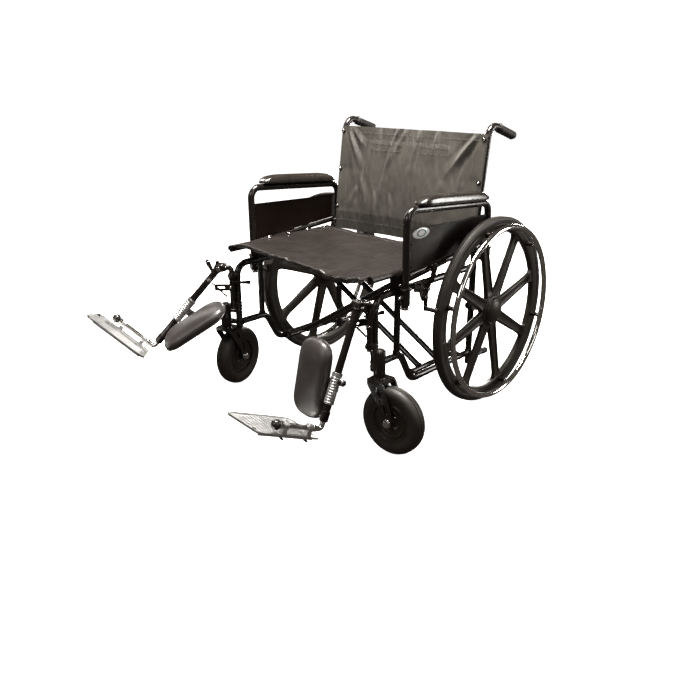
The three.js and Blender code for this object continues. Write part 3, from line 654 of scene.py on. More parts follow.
def rear_axle(put):
    stepped = [(0, 312), (11, 312), (11, 338), (13.5, 338), (13.5, 340.2), (0, 340.2)]
    put("axle_bolt", "chrome", [
        nut((286.4, 0, AXLE_Z), RIGHT, 10.5, 8),
        washer((284.8, 0, AXLE_Z), LEFT, 13),
        washer((309.6, 0, AXLE_Z), LEFT, 14, 3),
        rod((310, 0, AXLE_Z), (384, 0, AXLE_Z), 6.2, 24),
        lathe(stepped, (0, 0, AXLE_Z), LEFT, 32),
    ], "rear_axle")


def push_grip(put):
    """A moulded grip: a flange, then finger swells on its underside and a rounded end."""
    slope = (HANDLE_END - CANE_TOP).normalized()
    start = HANDLE_END - slope * 104
    under = Vector((0, slope.z, -slope.y))
    rings = []
    for i in range(61):
        t = i * 106 / 60
        swell = 0.5 - 0.5 * math.cos(TAU * max(0, t - 8) / 18)
        end = math.sqrt(max(0.0, 1 - max(0.0, (t - 96) / 10) ** 2))
        flange = 3.4 * max(0.0, 1 - abs(t - 3) / 3.4)
        ring = []
        for angle in angles(32):
            down = max(0.0, -math.cos(angle))
            r = max(1.0, (12.7 + flange + 3.2 * swell * down) * end)
            ring.append(start + slope * t + r * around(-under, Vector(LEFT), angle))
        rings.append(ring)
    put("push_grip_rubber", "grip", [loft(rings)], "push_grip", bevel=0, smooth=60)


# The brake's parts turn on bolts at these places, as (y, z).
BRAKE_HINGE, SHOE_HINGE, SHOE = (-312, 436), (-318, 414), (-318, 378)


def brake_bracket(put):
    plate = soften([(-340, 452), (-300, 456), (-292, 440), (-306, 402), (-328, 400), (-342, 424)], 7)
    put("brake_bracket", "chrome", [
        slab(plate, 334.4, 338, "yz", holes=[circle(-326, 440, 3)]),
        *[box((309.5, -334, z), (336, -284, z + 4)) for z in (427, 449)],
        slab(soften(corners(-336, 424, -280, 456), 5), 309.6, 315, "yz"),
        *[drum((336.4, *hinge), LEFT, 7, 0, 3.4) for hinge in (BRAKE_HINGE, SHOE_HINGE)],
        *[nut((315, y, 440), LEFT, 6, 4.5) for y in (-326, -292)],
    ], "brake_body")


def brake_levers(side, at):
    put = maker(side, at["chair"], "brake_handle")
    blade = soften([(-320, 437), (-305, 432), (-288, 462), (-292, 470), (-302, 468)], 5)
    start, end = Vector((346, -297, 459)), Vector((346, -280, 508))
    knob = [(0, -3), (5, -3), (7, -1), (6.8, 6), (7.2, 14), (8.4, 30), (8.8, 42), (8.2, 48), (5.4, 51.6),
            (0, 52.6)]
    put("brake_lever_blade", "trim_plastic", [
        slab(blade, 340, 344, "yz"),
        drum((340, *BRAKE_HINGE), LEFT, 9, 0, 4.4, 28),
        lathe(knob, start, end - start, 28),
    ], "brake_lever")
    put("brake_lever_bolt", "chrome", [
        nut((344.4, *BRAKE_HINGE), LEFT, 6, 4), screw((344, start.y, start.z + 1), LEFT, 4)])
    put = maker(side, at["chair"], "brake_arm")
    arm = slab(link(SHOE_HINGE, 9, SHOE, 8.4), 340, 344, "yz")
    roller = [(0, 0), (6.2, 0), (7, 0.8)]
    for k in range(9):
        x = 3 + k * 4.2
        roller += [(7, x), (6, x + 1.2), (7, x + 2.4)]
    roller += [(7, 41.5), (6.2, 42.4), (0, 42.4)]
    put("brake_shoe_arm", "frame_black", [arm, lathe(roller, (344, *SHOE), LEFT, 28)], "brake_shoe",
        bevel=0.5)
    put("brake_shoe_bolt", "chrome", [nut((344, *SHOE_HINGE), LEFT, 6.5, 4.5)])


# ---------------------------------------------------------------- rear wheel, centred on its axle
def rear_wheel(side, at):
    put = maker(side, at["axle"], "wheel")

    def shifted(profile):
        return [(r, x + WHEEL_X) for r, x in profile]

    tread = []
    for groove in (-7.2, 0, 7.2):
        crown = 305 - abs(groove) * 0.09
        floor_r = crown - 1.6
        tread += [(crown, groove - 1.6), (floor_r, groove - 0.9), (floor_r, groove + 0.9),
                  (crown, groove + 1.6)]
    wall = [(303.2, 11.2), (301, 13.2), (297, 14.6), (292.5, 15), (291.6, 14.4), (289, 14.6), (286, 14),
            (283.4, 12.6)]
    tyre = mirrored(wall) + tread + wall
    put("tyre_solid", "tyre", [lathe(shifted(tyre), sides=120, closed=True)], "rear_tyre", bevel=0, smooth=50)

    rim = [(283, 12), (280, 12.6), (274, 11.4), (266, 10), (260, 9.4), (258, 7.5)]
    hub = [(6.8, 340.6), (25, 340.6), (27, 342), (29, 352), (34, 361), (47, 364.4), (50, 367), (50, 381),
           (48.6, 384), (45, 385), (44, 383), (42, 383), (6.8, 383)]
    rib = slab([(27, 343), (34, 361), (47, 364.6), (47, 366), (27, 366)], -2, 2, "xz")
    upended = Matrix(((0, 0, 1, 0), (0, 1, 0, 0), (1, 0, 0, 0), (0, 0, 0, 1)))
    phase = math.radians(SPOKE_PHASE[side])
    put("wheel_moulding", "wheel_plastic", [
        lathe(shifted(rim + mirrored(rim)), sides=120, closed=True),
        lathe(hub, sides=64, closed=True),
        *[moved(rib, Matrix.Rotation(a, 4, "X") @ upended) for a in angles(12)],
        *[moved(spoke_blade(), Matrix.Rotation(a + phase, 4, "X")) for a in angles(8)],
    ], "rear_wheel", bevel=0.6)
    cap = [(43.4, 382), (43.4, 386), (42.6, 388.4), (39.5, 391.5), (37, 392.4), (36.2, 391.6), (35, 391.8),
           (34, 393.2), (26, 396.6), (14, 398.8), (0, 399.4), (0, 382)]
    put("hub_cap", "wheel_plastic", [lathe(cap, sides=72)], bevel=0, smooth=30)

    ring = [(HANDRIM_RADIUS + HANDRIM_TUBE * math.cos(a), HANDRIM_X + HANDRIM_TUBE * math.sin(a))
            for a in angles(20)]
    spacer = [(0, 384), (9, 384), (9.4, 386), (7.4, 392), (7, 400), (8, 405), (0, 405)]
    tabs, spacers, heads = [], [], []
    for i in range(6):
        turn = Matrix.Rotation((i + 0.25) * TAU / 6, 4, "X")
        tabs.append(moved(slab(link((0, 270), 8, (0, 278), 6), 405, 408, "yz"), turn))
        spacers.append(moved(lathe(spacer, (0, 0, 270), sides=28), turn))
        heads.append(moved(screw((408, 0, 269), LEFT, 4.6), turn))
    put("handrim_tube", "chrome", [lathe(ring, sides=160, closed=True), *tabs, *heads], "handrim", bevel=0.4)
    put("handrim_spacers", "trim_plastic", spacers)


def spoke_blade():
    """One spoke along +Z: a flat blade with a shallow channel, spreading into the rim and the hub."""
    inner, outer = 44, 259
    rings = []
    for i in range(29):
        r = inner + (outer - inner) * i / 28
        w = 20 - 5 * (r - inner) / 220 + 13 * math.exp(-(outer - r) / 9) + 7 * math.exp(-(r - inner) / 9)
        depth = 3.8 * min(1.0, max(0.0, (r - 56) / 10)) * min(1.0, max(0.0, (246 - r) / 12))
        t = 7.4 - 0.4 * (r - inner) / (outer - inner)
        edge = [(w, t - 3), (w - 1.2, t - 0.8), (w - 3.4, t)]
        front = edge + [(w - 6.2, t), (w - 8.2, t - depth * 0.8), (w - 10.4, t - depth)]
        back = [(a, -x) for a, x in edge]
        section = front + [(-a, x) for a, x in reversed(front)]
        section += [(-a, x) for a, x in back] + [(a, x) for a, x in reversed(back)]
        rings.append([(WHEEL_X + x, a, r) for a, x in section])
    return loft(rings)


# ---------------------------------------------------------------- caster, in the stem's own frame
def caster(side, at):
    put = maker(side, at["caster"], "caster_swivel")
    outline = soften([(-20, 219), (34, 219), (70, 124), (70, 90), (36, 90), (33, 128), (-20, 204)],
                     [8, 10, 14, 17, 17, 14, 10])
    slots = [capsule((14, 196), (26, 180), 4.6), capsule((42, 152), (49, 132), 4.6)]
    legs = [slab(outline, y, y + 5.4, "xz", slots) for y in (-32, 26.6)]
    crown = slab(soften(corners(-24, -32, 34, 32), 10), 209, 219.4)
    stem = lathe([(0, 216), (15, 216), (15, 221), (8.6, 221.4), (8.6, 298), (0, 298)], axis=UP, sides=32)
    put("caster_fork_shell", "frame_black", [*legs, crown, stem], "caster_fork", bevel=1)
    centre = (TRAIL, 0, CASTER_RADIUS)
    bolt = [drum(centre, REAR, 6.2, -37, 37), sleeve((0, 0, 219.6), (0, 0, 222), 16, 9)]
    for d in (1, -1):
        bolt.append(nut((TRAIL, d * 33.6, CASTER_RADIUS), (0, d, 0), 10.5, 7))
        bolt.append(washer((TRAIL, d * 32, CASTER_RADIUS), (0, d, 0), 12.5))
    put("caster_axle_bolt", "chrome", bolt, bevel=0.5)

    put = maker(side, at["caster"], "caster_roller")
    face = [(6.6, 25), (12.5, 25), (14, 23.6), (15.5, 14), (30, 12.6), (31, 14), (33, 14), (34, 12.4),
            (44, 12), (46, 14.2), (49, 14.2), (51, 12.4), (55, 13), (57.4, 19), (58.4, 20), (62, 20)]
    put("caster_hub", "wheel_plastic", [lathe(face + mirrored(face), centre, REAR, 72, closed=True)],
        "caster_wheel", bevel=0.4)
    bolts = []
    for k in range(4):
        angle = (k + 0.5) * TAU / 4
        x, z = TRAIL + 23 * math.cos(angle), CASTER_RADIUS + 23 * math.sin(angle)
        bolts += [screw((x, d * 13.2, z), (0, d, 0), 3.6, 2.4) for d in (-1, 1)]
    put("caster_bolts", "chrome", bolts, bevel=0)
    half = [(62.4, 19.6), (70, 21.4), (76, 23.4), (84, 24), (90, 23), (95.5, 20), (98.8, 15.5), (100.8, 10),
            (101.4, 6.4), (99.8, 5.6), (99.8, 4.2), (101.6, 3.4)]
    put("caster_tyre_solid", "tyre", [lathe(half + mirrored(half), centre, REAR, 96, closed=True)],
        "caster_tyre", bevel=0, smooth=50)


# ---------------------------------------------------------------- armrest
def armrest(side, at):
    put = maker(side, at["chair"], "armrest")
    hoop = bent([(ARM_X, ARM_FRONT_Y, 394), (ARM_X, ARM_FRONT_Y, ARM_FRONT_TOP_Z),
                 (ARM_X, ARM_REAR_Y, arm_top(ARM_REAR_Y)), (ARM_X, ARM_REAR_Y, 462)], 34, 12)
    lower = rod((ARM_X, ARM_FRONT_Y, 489), (ARM_X, ARM_REAR_Y, 520), 8, 24)
    lower_ends = ((ARM_FRONT_Y + 11, 490), (ARM_REAR_Y - 11, 519))
    beads = [weld((ARM_X, y, z), (0, 1, 0.07), 8.2, 2) for y, z in lower_ends]
    put("arm_hoop", "frame_black", [sweep(hoop, 11, 28), lower, *beads], "arm_frame")
    plug = [(0, 0), (9, 0), (11.3, 2), (11.3, 9), (0, 9)]
    put("arm_plugs", "chrome", [lathe(plug, (ARM_X, ARM_FRONT_Y, 388), UP, 28)])
    front, rear = ARM_FRONT_Y + 12, ARM_REAR_Y - 12
    top = [(rear, 611), (-70, 614), (-120, 611), (front, 620)]
    outline = soften([(front, 499), (rear, 529), *top], [4, 4, 8, 20, 20, 8])
    edge = bent([(ARM_X, y, z - 1.4) for y, z in top], 40, 5)
    put("arm_panel_sheet", "trim_plastic", [
        slab(outline, ARM_X - 1.6, ARM_X + 1.6, "yz"), sweep(edge, 2.5, 12)], "arm_panel", bevel=0.5)
    rivets = ((front + 12, 512), (-200, 527), (rear - 10, 541), (front + 9, 578), (rear - 9, 590))
    put("arm_rivets", "frame_black", [screw((ARM_X + 1.6, y, z), LEFT, 3.6, 1.8) for y, z in rivets], bevel=0)
    arm_pad(put)
    badge(put)


def badge(put):
    """A blank oval plate with a raised ring on it, on the outer face of the arm panel."""
    y, z = -333, 603.5
    domes = ((1, 0), (1, 0.6), (0.97, 1.5), (0.9, 2.1), (0.5, 2.35), (0.05, 2.4))
    rings = [[(ARM_X + 1.2 + x, *p) for p in oval(y, z, share * 40, share * 15.6)] for share, x in domes]
    put("badge_plate", "trim_plastic", [loft(rings)], bevel=0, finish="badge_white")
    lip = ((1.16, 0), (1.1, 0.75), (0.82, 0.75), (0.76, 0))
    ring = [[(ARM_X + 3.2 + x, y + 20 * share * math.cos(a), z + 9.6 * share * math.sin(a))
             for share, x in lip]
            for a in angles(48)]
    put("badge_ring", "trim_plastic", [loft(ring, closed=True)], bevel=0, finish="badge_ring")


def arm_pad(put):
    """A long cushion with a rounded nose, in plan narrower at its ends, sitting on a thin tray."""
    middle_y = -176
    tilt = Matrix.Translation((ARM_X, middle_y, arm_top(middle_y) + 11.4))
    tilt = tilt @ Matrix.Rotation(math.atan(ARM_SLOPE), 4, "X")
    rings = []
    for i in range(57):
        s = -1 + i / 28
        y = 178 * s
        tip = max(0.0, 1 - max(0.0, (abs(s) - 0.80) / 0.20) ** 2.4)
        width = 25.5 * max(0.10, tip) ** 0.5
        height = 9 + 20 * max(0.0, 1 - max(0.0, (abs(s) - 0.48) / 0.52) ** 2.2) ** 0.62
        height *= max(0.28, tip) ** 0.35
        ring = []
        for angle in angles(28):
            c, n = math.cos(angle), math.sin(angle)
            across = math.copysign(abs(c) ** 0.62, c) * width
            z = 5 + (height - 5) * n ** 0.72 if n >= 0 else 5 - 4.2 * (-n) ** 0.6
            ring.append(tilt @ Vector((across + 1.1, y, z)))
        rings.append(ring)
    pad = put("arm_cushion", "arm_pad", [loft(rings)], "arm_pad", bevel=0, smooth=70)
    put("arm_tray", "trim_plastic", [moved(slab(soften(corners(-21, -160, 23, 160), 20), -0.3, 3), tilt)])


# ---------------------------------------------------------------- legrest
def legrest(side, at):
    put = maker(side, at["hanger"], "legrest")
    z = HANGER_ARM_Z
    post = bent([(0, 0, 294), (0, 0, z), (0, -24, z)], 13, 10)
    bridge = slab(soften(corners(-21, -27, 21, -18), 3), z - 9, z + 9)
    ears = [slab(link((PIVOT_Y, z), 12, (-22, z), 9.4), x, x + 5, "yz") for x in (-21, 16)]
    guide_slot = capsule((-44, 371), (-24, 371), 3.6)
    guide = slab(soften(corners(-54, 360, 6, 382), 6), -24, -20.4, "yz", [guide_slot])
    collars = [sleeve((0, 0, h), (0, 0, h + 5), 11.6, 8.8) for h in (307, 393, 409)]
    put("hanger_weldment", "frame_black", [
        sweep(post, 9, 24), bridge, *ears, guide, box((-22, -6, 361), (0, 6, 381)), *collars,
        weld((0, -17, z), REAR, 9.2)], "hanger")
    put("hanger_bolts", "chrome", [
        nut((-21, PIVOT_Y, z), RIGHT, 8.4, 5.4),
        screw((21, PIVOT_Y, z), LEFT, 8, 4),
        screw((-24, -2, 371), RIGHT, 4),
        lathe([(0, 0), (9.2, 0), (9.2, -5), (7, -7), (0, -7)], (0, 0, 294), UP, 24)])
    put = maker(side, at["hanger"], "latch")
    latch_z = 388
    knob = [(0, 36), (4, 36), (5.4, 40), (5, 48), (6.4, 58), (5.4, 64), (0, 65.4)]
    put("latch_lever", "trim_plastic", [
        slab(soften(corners(-6, latch_z - 3.4, 44, latch_z + 3.4), 2.5), -22, -18.4, "yz"),
        lathe(knob, (-20, 0, latch_z), REAR, 24),
        box((-21, -5, latch_z - 3), (-9.8, 5, latch_z + 3)),
    ], "swing_latch")
    release_lever(side, at)

    put = maker(side, at["knee"], "leg")
    barrel = [(0, -15.4), (11, -15.4), (12, -14.4), (12, 14.4), (11, 15.4), (0, 15.4)]
    dimple = [(0, 11.2), (2.6, 11.2), (3.2, 10.6), (0, 9)]
    put("leg_shaft", "frame_black", [
        sleeve((0, 0, -6), (0, 0, -LEG_END), 11, 8.6),
        lathe(barrel, sides=32),
        rod((-12.4, 0, -RATCHET_ALONG), (-9.6, 0, -RATCHET_ALONG), 5),
        *[lathe(dimple, (0, 0, z), FRONT, 16) for z in (-150, -172)],
        weld((0, 0, -12.4), UP, 11)], "leg_tube")
    end_sleeve = [(8.4, -342), (12.4, -342), (13, -341), (13, -312), (12.2, -311), (11.1, -311),
                  (11.1, -338), (8.4, -338)]
    put("leg_end_sleeve", "trim_plastic", [lathe(end_sleeve, axis=UP, sides=36, closed=True)])
    foot(side, at)
    calf(side, at)
    notched = [(0, 2), (3.6, 2), (3.6, -6)]
    for k in range(11):
        notched += [(3.6, -10 - 6 * k), (2.3, -12 - 6 * k), (3.6, -13 - 6 * k)]
    notched += [(3.6, -78), (2.6, -80), (0, -80)]
    put = maker(side, at["rod"], "ratchet")
    put("ratchet_bar", "chrome", [
        lathe(notched, (-RATCHET_X, 0, 0), UP, 20), sleeve((-19.4, 0, 0), (-12.6, 0, 0), 6.4, 2.2)],
        "ratchet_rod", bevel=0.3)


def release_lever(side, at):
    put = maker(side, at["lever"], "release")
    start, end = LEVER_GRIP[side]
    top = Vector((29.6, *start))
    axis = Vector((30.6, *end)) - top
    length = axis.length
    waist = [(5.6, 0.3), (7.6, 0.66), (7.6, 0.8), (6.6, 0.84), (6.6, 0.94), (5.4, 1)]
    knob = [(0, -4), (3, -3.4), (4.4, -1), *[(r, length * share) for r, share in waist], (0, length + 1)]
    put("release_handle", "trim_plastic", [
        drum((0, 0, 0), LEFT, 6, 21.6, 31),
        rod((25.6, 0, 0), top, 4.2),
        lathe(knob, top, axis, 24),
    ], "ratchet_lever")
    ring = [(r, length * share) for r, share in ((6.2, 0.8), (8, 0.8), (8, 0.87), (6.2, 0.87))]
    put("release_ring", "chrome", [lathe(ring, top, axis, 28, closed=True)], bevel=0.3)


def foot(side, at):
    put = maker(side, at["knee"], "foot_extension")
    z = -LEG_LENGTH
    path = bent([(0, 0, -230), (0, 0, z), (0, -FOOT_REACH, z)], 12, 10)
    put("foot_bar", "chrome", [sweep(path, 8, 28), sleeve((0, -19, z), (0, -31, z), 10.6, 8)], "foot_tube",
        bevel=0.4)
    ball = [(15 * math.sin(a), -15 * math.cos(a)) for a in [k * math.pi / 16 for k in range(17)]]
    put("foot_ball", "trim_plastic", [lathe(ball, (0, -FOOT_REACH - 12, z), REAR, 36)],
        bevel=0, smooth=60, finish="gloss_black")
    collar = [(8.2, -4), (10.4, -4), (10.8, 0), (10.4, 6), (8.2, 6)]
    put("foot_collar", "chrome", [lathe(collar, (0, -FOOT_REACH + 2, z), REAR, 28, closed=True)], bevel=0,
        smooth=60)
    footplate(maker(side, at["plate"], "foot_board"))


def footplate(put):
    """A cast plate beside its hinge, below it by PLATE_DROP: a rimmed, ribbed deck on two lugs."""
    top = -PLATE_DROP
    outline = soften([(12, -4), (12, -196), (0, -208), (-136, -226), (-150, -214), (-150, -22), (-132, -4)],
                     [8, 8, 8, 10, 10, 14, 14], 8)
    middle = -110
    inner = [(x * 0.94 - 4.2, (y - middle) * 0.955 + middle) for x, y in outline]
    shrunk = [(x * 0.985 - 1, (y - middle) * 0.985 + middle) for x, y in outline]
    rim = slab(outline, top - 5, top + 1.6, holes=[inner])
    deck = slab(shrunk, top - 5, top - 1)
    ribs = [box((-138 + 0.5 * max(0, -150 - y), y - 1.6, top - 2), (3, y + 1.6, top + 0.3))
            for y in range(-196, -20, 14)]
    under = [box((x - 2, -200, top - 11), (x + 2, -20, top - 4)) for x in (-130, -65, 0)]
    foot_of_lug = soften([(-11, top - 2), (11, top - 2), (8, -9), (-8, -9)], 2)
    lugs, bolts = [], []
    for y in (-34, -116):
        lugs += [sleeve((0, y, 0), (0, y - 14, 0), 13.5, 8.8), slab(foot_of_lug, y - 14, y, "xz")]
        bolt_y, tee_z = y - 7, top - 14
        bolts += [rod((0, bolt_y, -12), (0, bolt_y, tee_z), 3, 12),
                  rod((-8, bolt_y, tee_z), (8, bolt_y, tee_z), 3.2, 12)]
    put("foot_deck", "aluminium", [rim, deck, *ribs, *under, *lugs], "footplate", bevel=0.6)
    put("foot_tee_bolts", "frame_black", bolts, bevel=0.3)
    put("foot_mark", "trim_plastic", [slab(oval(-20, -203, 9, 4.5), top - 1.6, top + 2.1)], bevel=0.3)


def calf(side, at):
    """The notched clamp on the leg tube, then what is tilted with the pad: plate, board and cushion."""
    put = maker(side, at["calf"], "calf_support")
    beside, out, _ = PAD_MOUNT[side]
    notched = [(12, -46), (15, -46)]
    for k in range(10):
        z = -40 + k * 8
        notched += [(15, z), (13.6, z + 1.2), (13.6, z + 3.2), (15, z + 4.4)]
    notched += [(15, 46), (12, 46)]
    tab = slab(soften([(12, 10), (26, 14), (28, 22), (26, 30), (12, 34)], 4), -3, 3, "xz")
    put("calf_arm", "aluminium", [
        lathe(notched, axis=UP, sides=40, closed=True), tab, box((-4, 8, -13), (4, out + 11, 13))],
        "calf_bracket", bevel=0.5)
    put_tilted = maker(side, at["pad"], "calf_support")
    end = 4 - beside
    plate = soften([(-24, -20), (58, -20), (74, -13), (end, -13), (end, 13), (74, 13), (58, 20), (-24, 20)],
                   4)
    put_tilted("calf_plate", "aluminium", [slab(plate, 10, 14, "xz", [capsule((34, 0), (48, 0), 3.6)])],
               bevel=0.5)
    heads = [screw((x, 14, z), REAR, 5, 3) for x in (-14, 22) for z in (-12, 12)]
    put_tilted("calf_screws", "chrome", heads, bevel=0.3)
    knob_place = (20, 0, 22)
    knob = [(0, 3), (6, 3), (9.6, 5), (10.4, 11), (8.8, 15), (0, 16)]
    put("calf_knob", "trim_plastic", [lathe(knob, knob_place, REAR, 12),
                                      drum(knob_place, FRONT, 6.6, 3, 7, 6)], bevel=0.5)
    outline = soften(corners(-62, -120, 62, 120), 56, 12)
    board = [(u * 0.90, v * 0.93) for u, v in outline]
    put_tilted("calf_board", "trim_plastic", [slab(board, 5.4, 8.8, "xz")], bevel=0.8)
    filled = [(u * 0.96, v * 0.975) for u, v in outline]
    cushion = stuffed(f"{side}_calf_cushion", at["pad"], filled, -31, 5.6)
    cushion.data.materials.append(FINISH["calf_vinyl"])
    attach(cushion, f"{side}_calf_support")
    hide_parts(f"{side}_calf_pad")
    piping = []
    for u, v in outline:
        piping.append([Vector((u * 0.955 + 1.7 * math.cos(a) * u / 70, 3.4 + 1.7 * math.sin(a),
                               v * 0.972 + 1.7 * math.cos(a) * v / 110)) for a in angles(8)])
    put_tilted("calf_piping", "calf_vinyl", [loft(piping, closed=True)], bevel=0, smooth=60)


# The cloth run, in metres: the size of a voxel, how far a point may move, and the number of frames.
VOXEL, SWELL_LIMIT, CLOTH_FRAMES = 0.005, 0.007, 20


def stuffed(name, place, outline, front, back):
    """A cushion on a flat back, blown up by a short cloth run."""
    crown = ((0.05, 0), (0.4, 0.8), (0.62, 2.6), (0.79, 5.8), (0.91, 10.6), (0.98, 17), (1.01, 24))
    stations = [(scale, front + rise) for scale, rise in crown]
    stations += [(1, back - 5), (0.97, back), (0.6, back), (0.05, back)]
    rings = [[(u * scale, y, v * scale) for u, v in outline] for scale, y in stations]
    made = shaped(name, place, [loft(rings)], 70)
    remesh = made.modifiers.new("remesh", "REMESH")
    remesh.mode = "VOXEL"
    remesh.voxel_size = VOXEL
    settle(made)
    to_local = place.inverted()
    group = made.vertex_groups.new(name="held")
    held = [v.index for v in made.data.vertices if (to_local @ v.co).y > back - 4]
    group.add(held, 1.0, "REPLACE")
    cloth = made.modifiers.new("cloth", "CLOTH")
    settings = cloth.settings
    settings.quality = 6
    settings.mass = 0.4
    settings.tension_stiffness = 18
    settings.compression_stiffness = 18
    settings.bending_stiffness = 0.6
    settings.use_pressure = True
    settings.uniform_pressure_force = 4
    settings.effector_weights.gravity = 0
    settings.vertex_group_mass = "held"
    cloth.point_cache.frame_start = 1
    cloth.point_cache.frame_end = CLOTH_FRAMES
    rest = [v.co.copy() for v in made.data.vertices]
    for number in range(1, CLOTH_FRAMES + 1):
        bpy.context.scene.frame_set(number)
    settle(made)
    bpy.context.scene.frame_set(1)
    for vertex, start in zip(made.data.vertices, rest):
        step = vertex.co - start
        if step.length > SWELL_LIMIT:
            vertex.co = start + step.normalized() * SWELL_LIMIT
    for polygon in made.data.polygons:
        polygon.use_smooth = True
    smooth = made.modifiers.new("smooth", "SMOOTH")
    smooth.iterations = 4
    fine = made.modifiers.new("fine", "SUBSURF")
    fine.levels = fine.render_levels = 1
    return made


def settle(made):
    """Makes the modifiers' result the object's own mesh."""
    result = bpy.data.meshes.new_from_object(made.evaluated_get(bpy.context.evaluated_depsgraph_get()))
    made.modifiers.clear()
    old = made.data
    made.data = result
    bpy.data.meshes.remove(old)


# ---------------------------------------------------------------- cross brace
def cross_brace():
    crossing = BRACE_PIVOT.x / (BRACE_PIVOT.x + FRAME_X)
    bolt_z = BRACE_PIVOT.z + crossing * (SEAT_RAIL_Z - BRACE_PIVOT.z)
    top = Vector((-FRAME_X, 0, SEAT_RAIL_Z))
    down = (BRACE_PIVOT - top).normalized()
    hub = [(0, -10.6), (8, -10.6), (8.8, -9.6), (8.8, 9.6), (8, 10.6), (0, 10.6)]
    plug = [(0, 0), (9, 0), (10.6, 1.4), (10.6, 5), (9.6, 6), (0, 6)]
    for label, m, body in (("a", 1, "seat_brace"), ("b", -1, "cross_brace")):
        place = chair_place(m)
        solids = [rod((top.x, -515, top.z), (top.x, -58, top.z), SEAT_RAIL, 28),
                  rod((BRACE_PIVOT.x, -288, BRACE_PIVOT.z), (BRACE_PIVOT.x, -62, BRACE_PIVOT.z), 9.2, 28)]
        for y in BRACE_ROWS[label]:
            shift = Vector((0, y, 0))
            solids.append(rod(top + shift, BRACE_PIVOT + shift, 9.5, 24))
            solids.append(weld(top + shift + down * 11, down, 9.8))
            solids.append(weld(BRACE_PIVOT + shift - down * 10, down, 9.8))
            solids.append(lathe(hub, (0, y, bolt_z), REAR, 28))
        piece(f"brace_{label}_weldment", place, body, "frame_black", solids, [f"brace_{label}"])
        ends = ((-520, REAR), (-53, FRONT))
        piece(f"brace_{label}_rail_plugs", place, body, "trim_plastic",
              [lathe(plug, (top.x, y, top.z), axis, 28) for y, axis in ends])
        fixings = []
        for y in SEAT_SCREWS_Y:
            fixings.append(washer((top.x, y, top.z + 12.2), UP, 8, 1.4))
            fixings.append(screw((top.x, y, top.z + 13.6), UP, 5.2, 3))
        piece(f"brace_{label}_seat_screws", place, body, "chrome", fixings, bevel=0.3)
    front, back = BRACE_ROWS["a"][0] - 12, BRACE_ROWS["b"][1] + 12
    piece("brace_bolt_set", chair_place(1), "seat_brace", "chrome", [
        rod((0, front - 2, bolt_z), (0, back + 2, bolt_z), 4.4),
        washer((0, front - 1.6, bolt_z), REAR, 10), nut((0, front - 1.6, bolt_z), FRONT, 8.6, 6.6),
        washer((0, back, bolt_z), REAR, 10), nut((0, back + 1.6, bolt_z), REAR, 8.6, 6.6),
    ], ["brace_bolt"], bevel=0.4)


# ---------------------------------------------------------------- upholstery
def between(table, x):
    """A smooth curve through a table of (x, value)."""
    if x <= table[0][0]:
        return table[0][1]
    for (xa, a), (xb, b) in zip(table, table[1:]):
        if x <= xb:
            t = (x - xa) / (xb - xa)
            t = t * t * (3 - 2 * t)
            return a + (b - a) * t
    return table[-1][1]


def sheet_solid(put, columns, rows, thickness):
    """A sheet over a grid of (column, row) shares, with its underside and closed edges."""
    grid = [[put(i / columns, j / rows) for i in range(columns + 1)] for j in range(rows + 1)]
    normals = []
    for j in range(rows + 1):
        line = []
        for i in range(columns + 1):
            across = grid[j][min(i + 1, columns)] - grid[j][max(i - 1, 0)]
            along = grid[min(j + 1, rows)][i] - grid[max(j - 1, 0)][i]
            line.append(across.cross(along).normalized())
        normals.append(line)
    points, faces = [], []
    for lift in (0, -1):
        for j in range(rows + 1):
            for i in range(columns + 1):
                t = thickness(i / columns, j / rows)
                points.append(grid[j][i] + normals[j][i] * t * lift)
    width = columns + 1
    layer = width * (rows + 1)
    for j in range(rows):
        for i in range(columns):
            a = j * width + i
            faces.append((a, a + 1, a + 1 + width, a + width))
            faces.append((layer + a, layer + a + width, layer + a + 1 + width, layer + a + 1))
    rim = [(i, 0) for i in range(columns)] + [(columns, j) for j in range(rows)]
    rim += [(columns - i, rows) for i in range(columns)] + [(0, rows - j) for j in range(rows)]
    for (ia, ja), (ib, jb) in zip(rim, rim[1:] + rim[:1]):
        a, b = ja * width + ia, jb * width + ib
        faces.append((a, layer + a, layer + b, b))
    return (points, faces), grid, normals


# The height of the seat across its front and back edges, as (x, z).
SEAT_HEM = [(-311, 499), (-296, 504.6), (-210, 507), (-137, 499), (-38, 491), (39, 485), (89, 480),
            (143, 468), (200, 470), (260, 481), (298, 504.6), (311, 499)]
SEAT_BACK = [(-298, 504.6), (-240, 502), (-120, 497), (0, 495), (120, 497), (240, 502), (298, 504.6)]
# The front hem's share of the seat's depth and how far it turns down; the share wrapped round each rail.
HEM_SHARE, HEM_DROP = 0.07, 17
SEAT_WRAP, BACK_WRAP = 0.045, 0.03


def wrapped(u, wrap):
    """Which rail a point near an edge is wrapped round, and how far round it, from 0 to 1."""
    if u < 0.5:
        return -1, (wrap - u) / wrap
    return 1, (u - 1 + wrap) / wrap


def noise_at(x, y, z):
    return noise.noise(Vector((x, y, z)))


def screw_pull(place, rows, reach, spread, far, near):
    """How much the cloth is drawn in beside its row of screws."""
    along = sum(math.exp(-(((place - row) / spread) ** 2)) for row in rows)
    return along * math.exp(-reach / far) * (1 - math.exp(-reach / near))


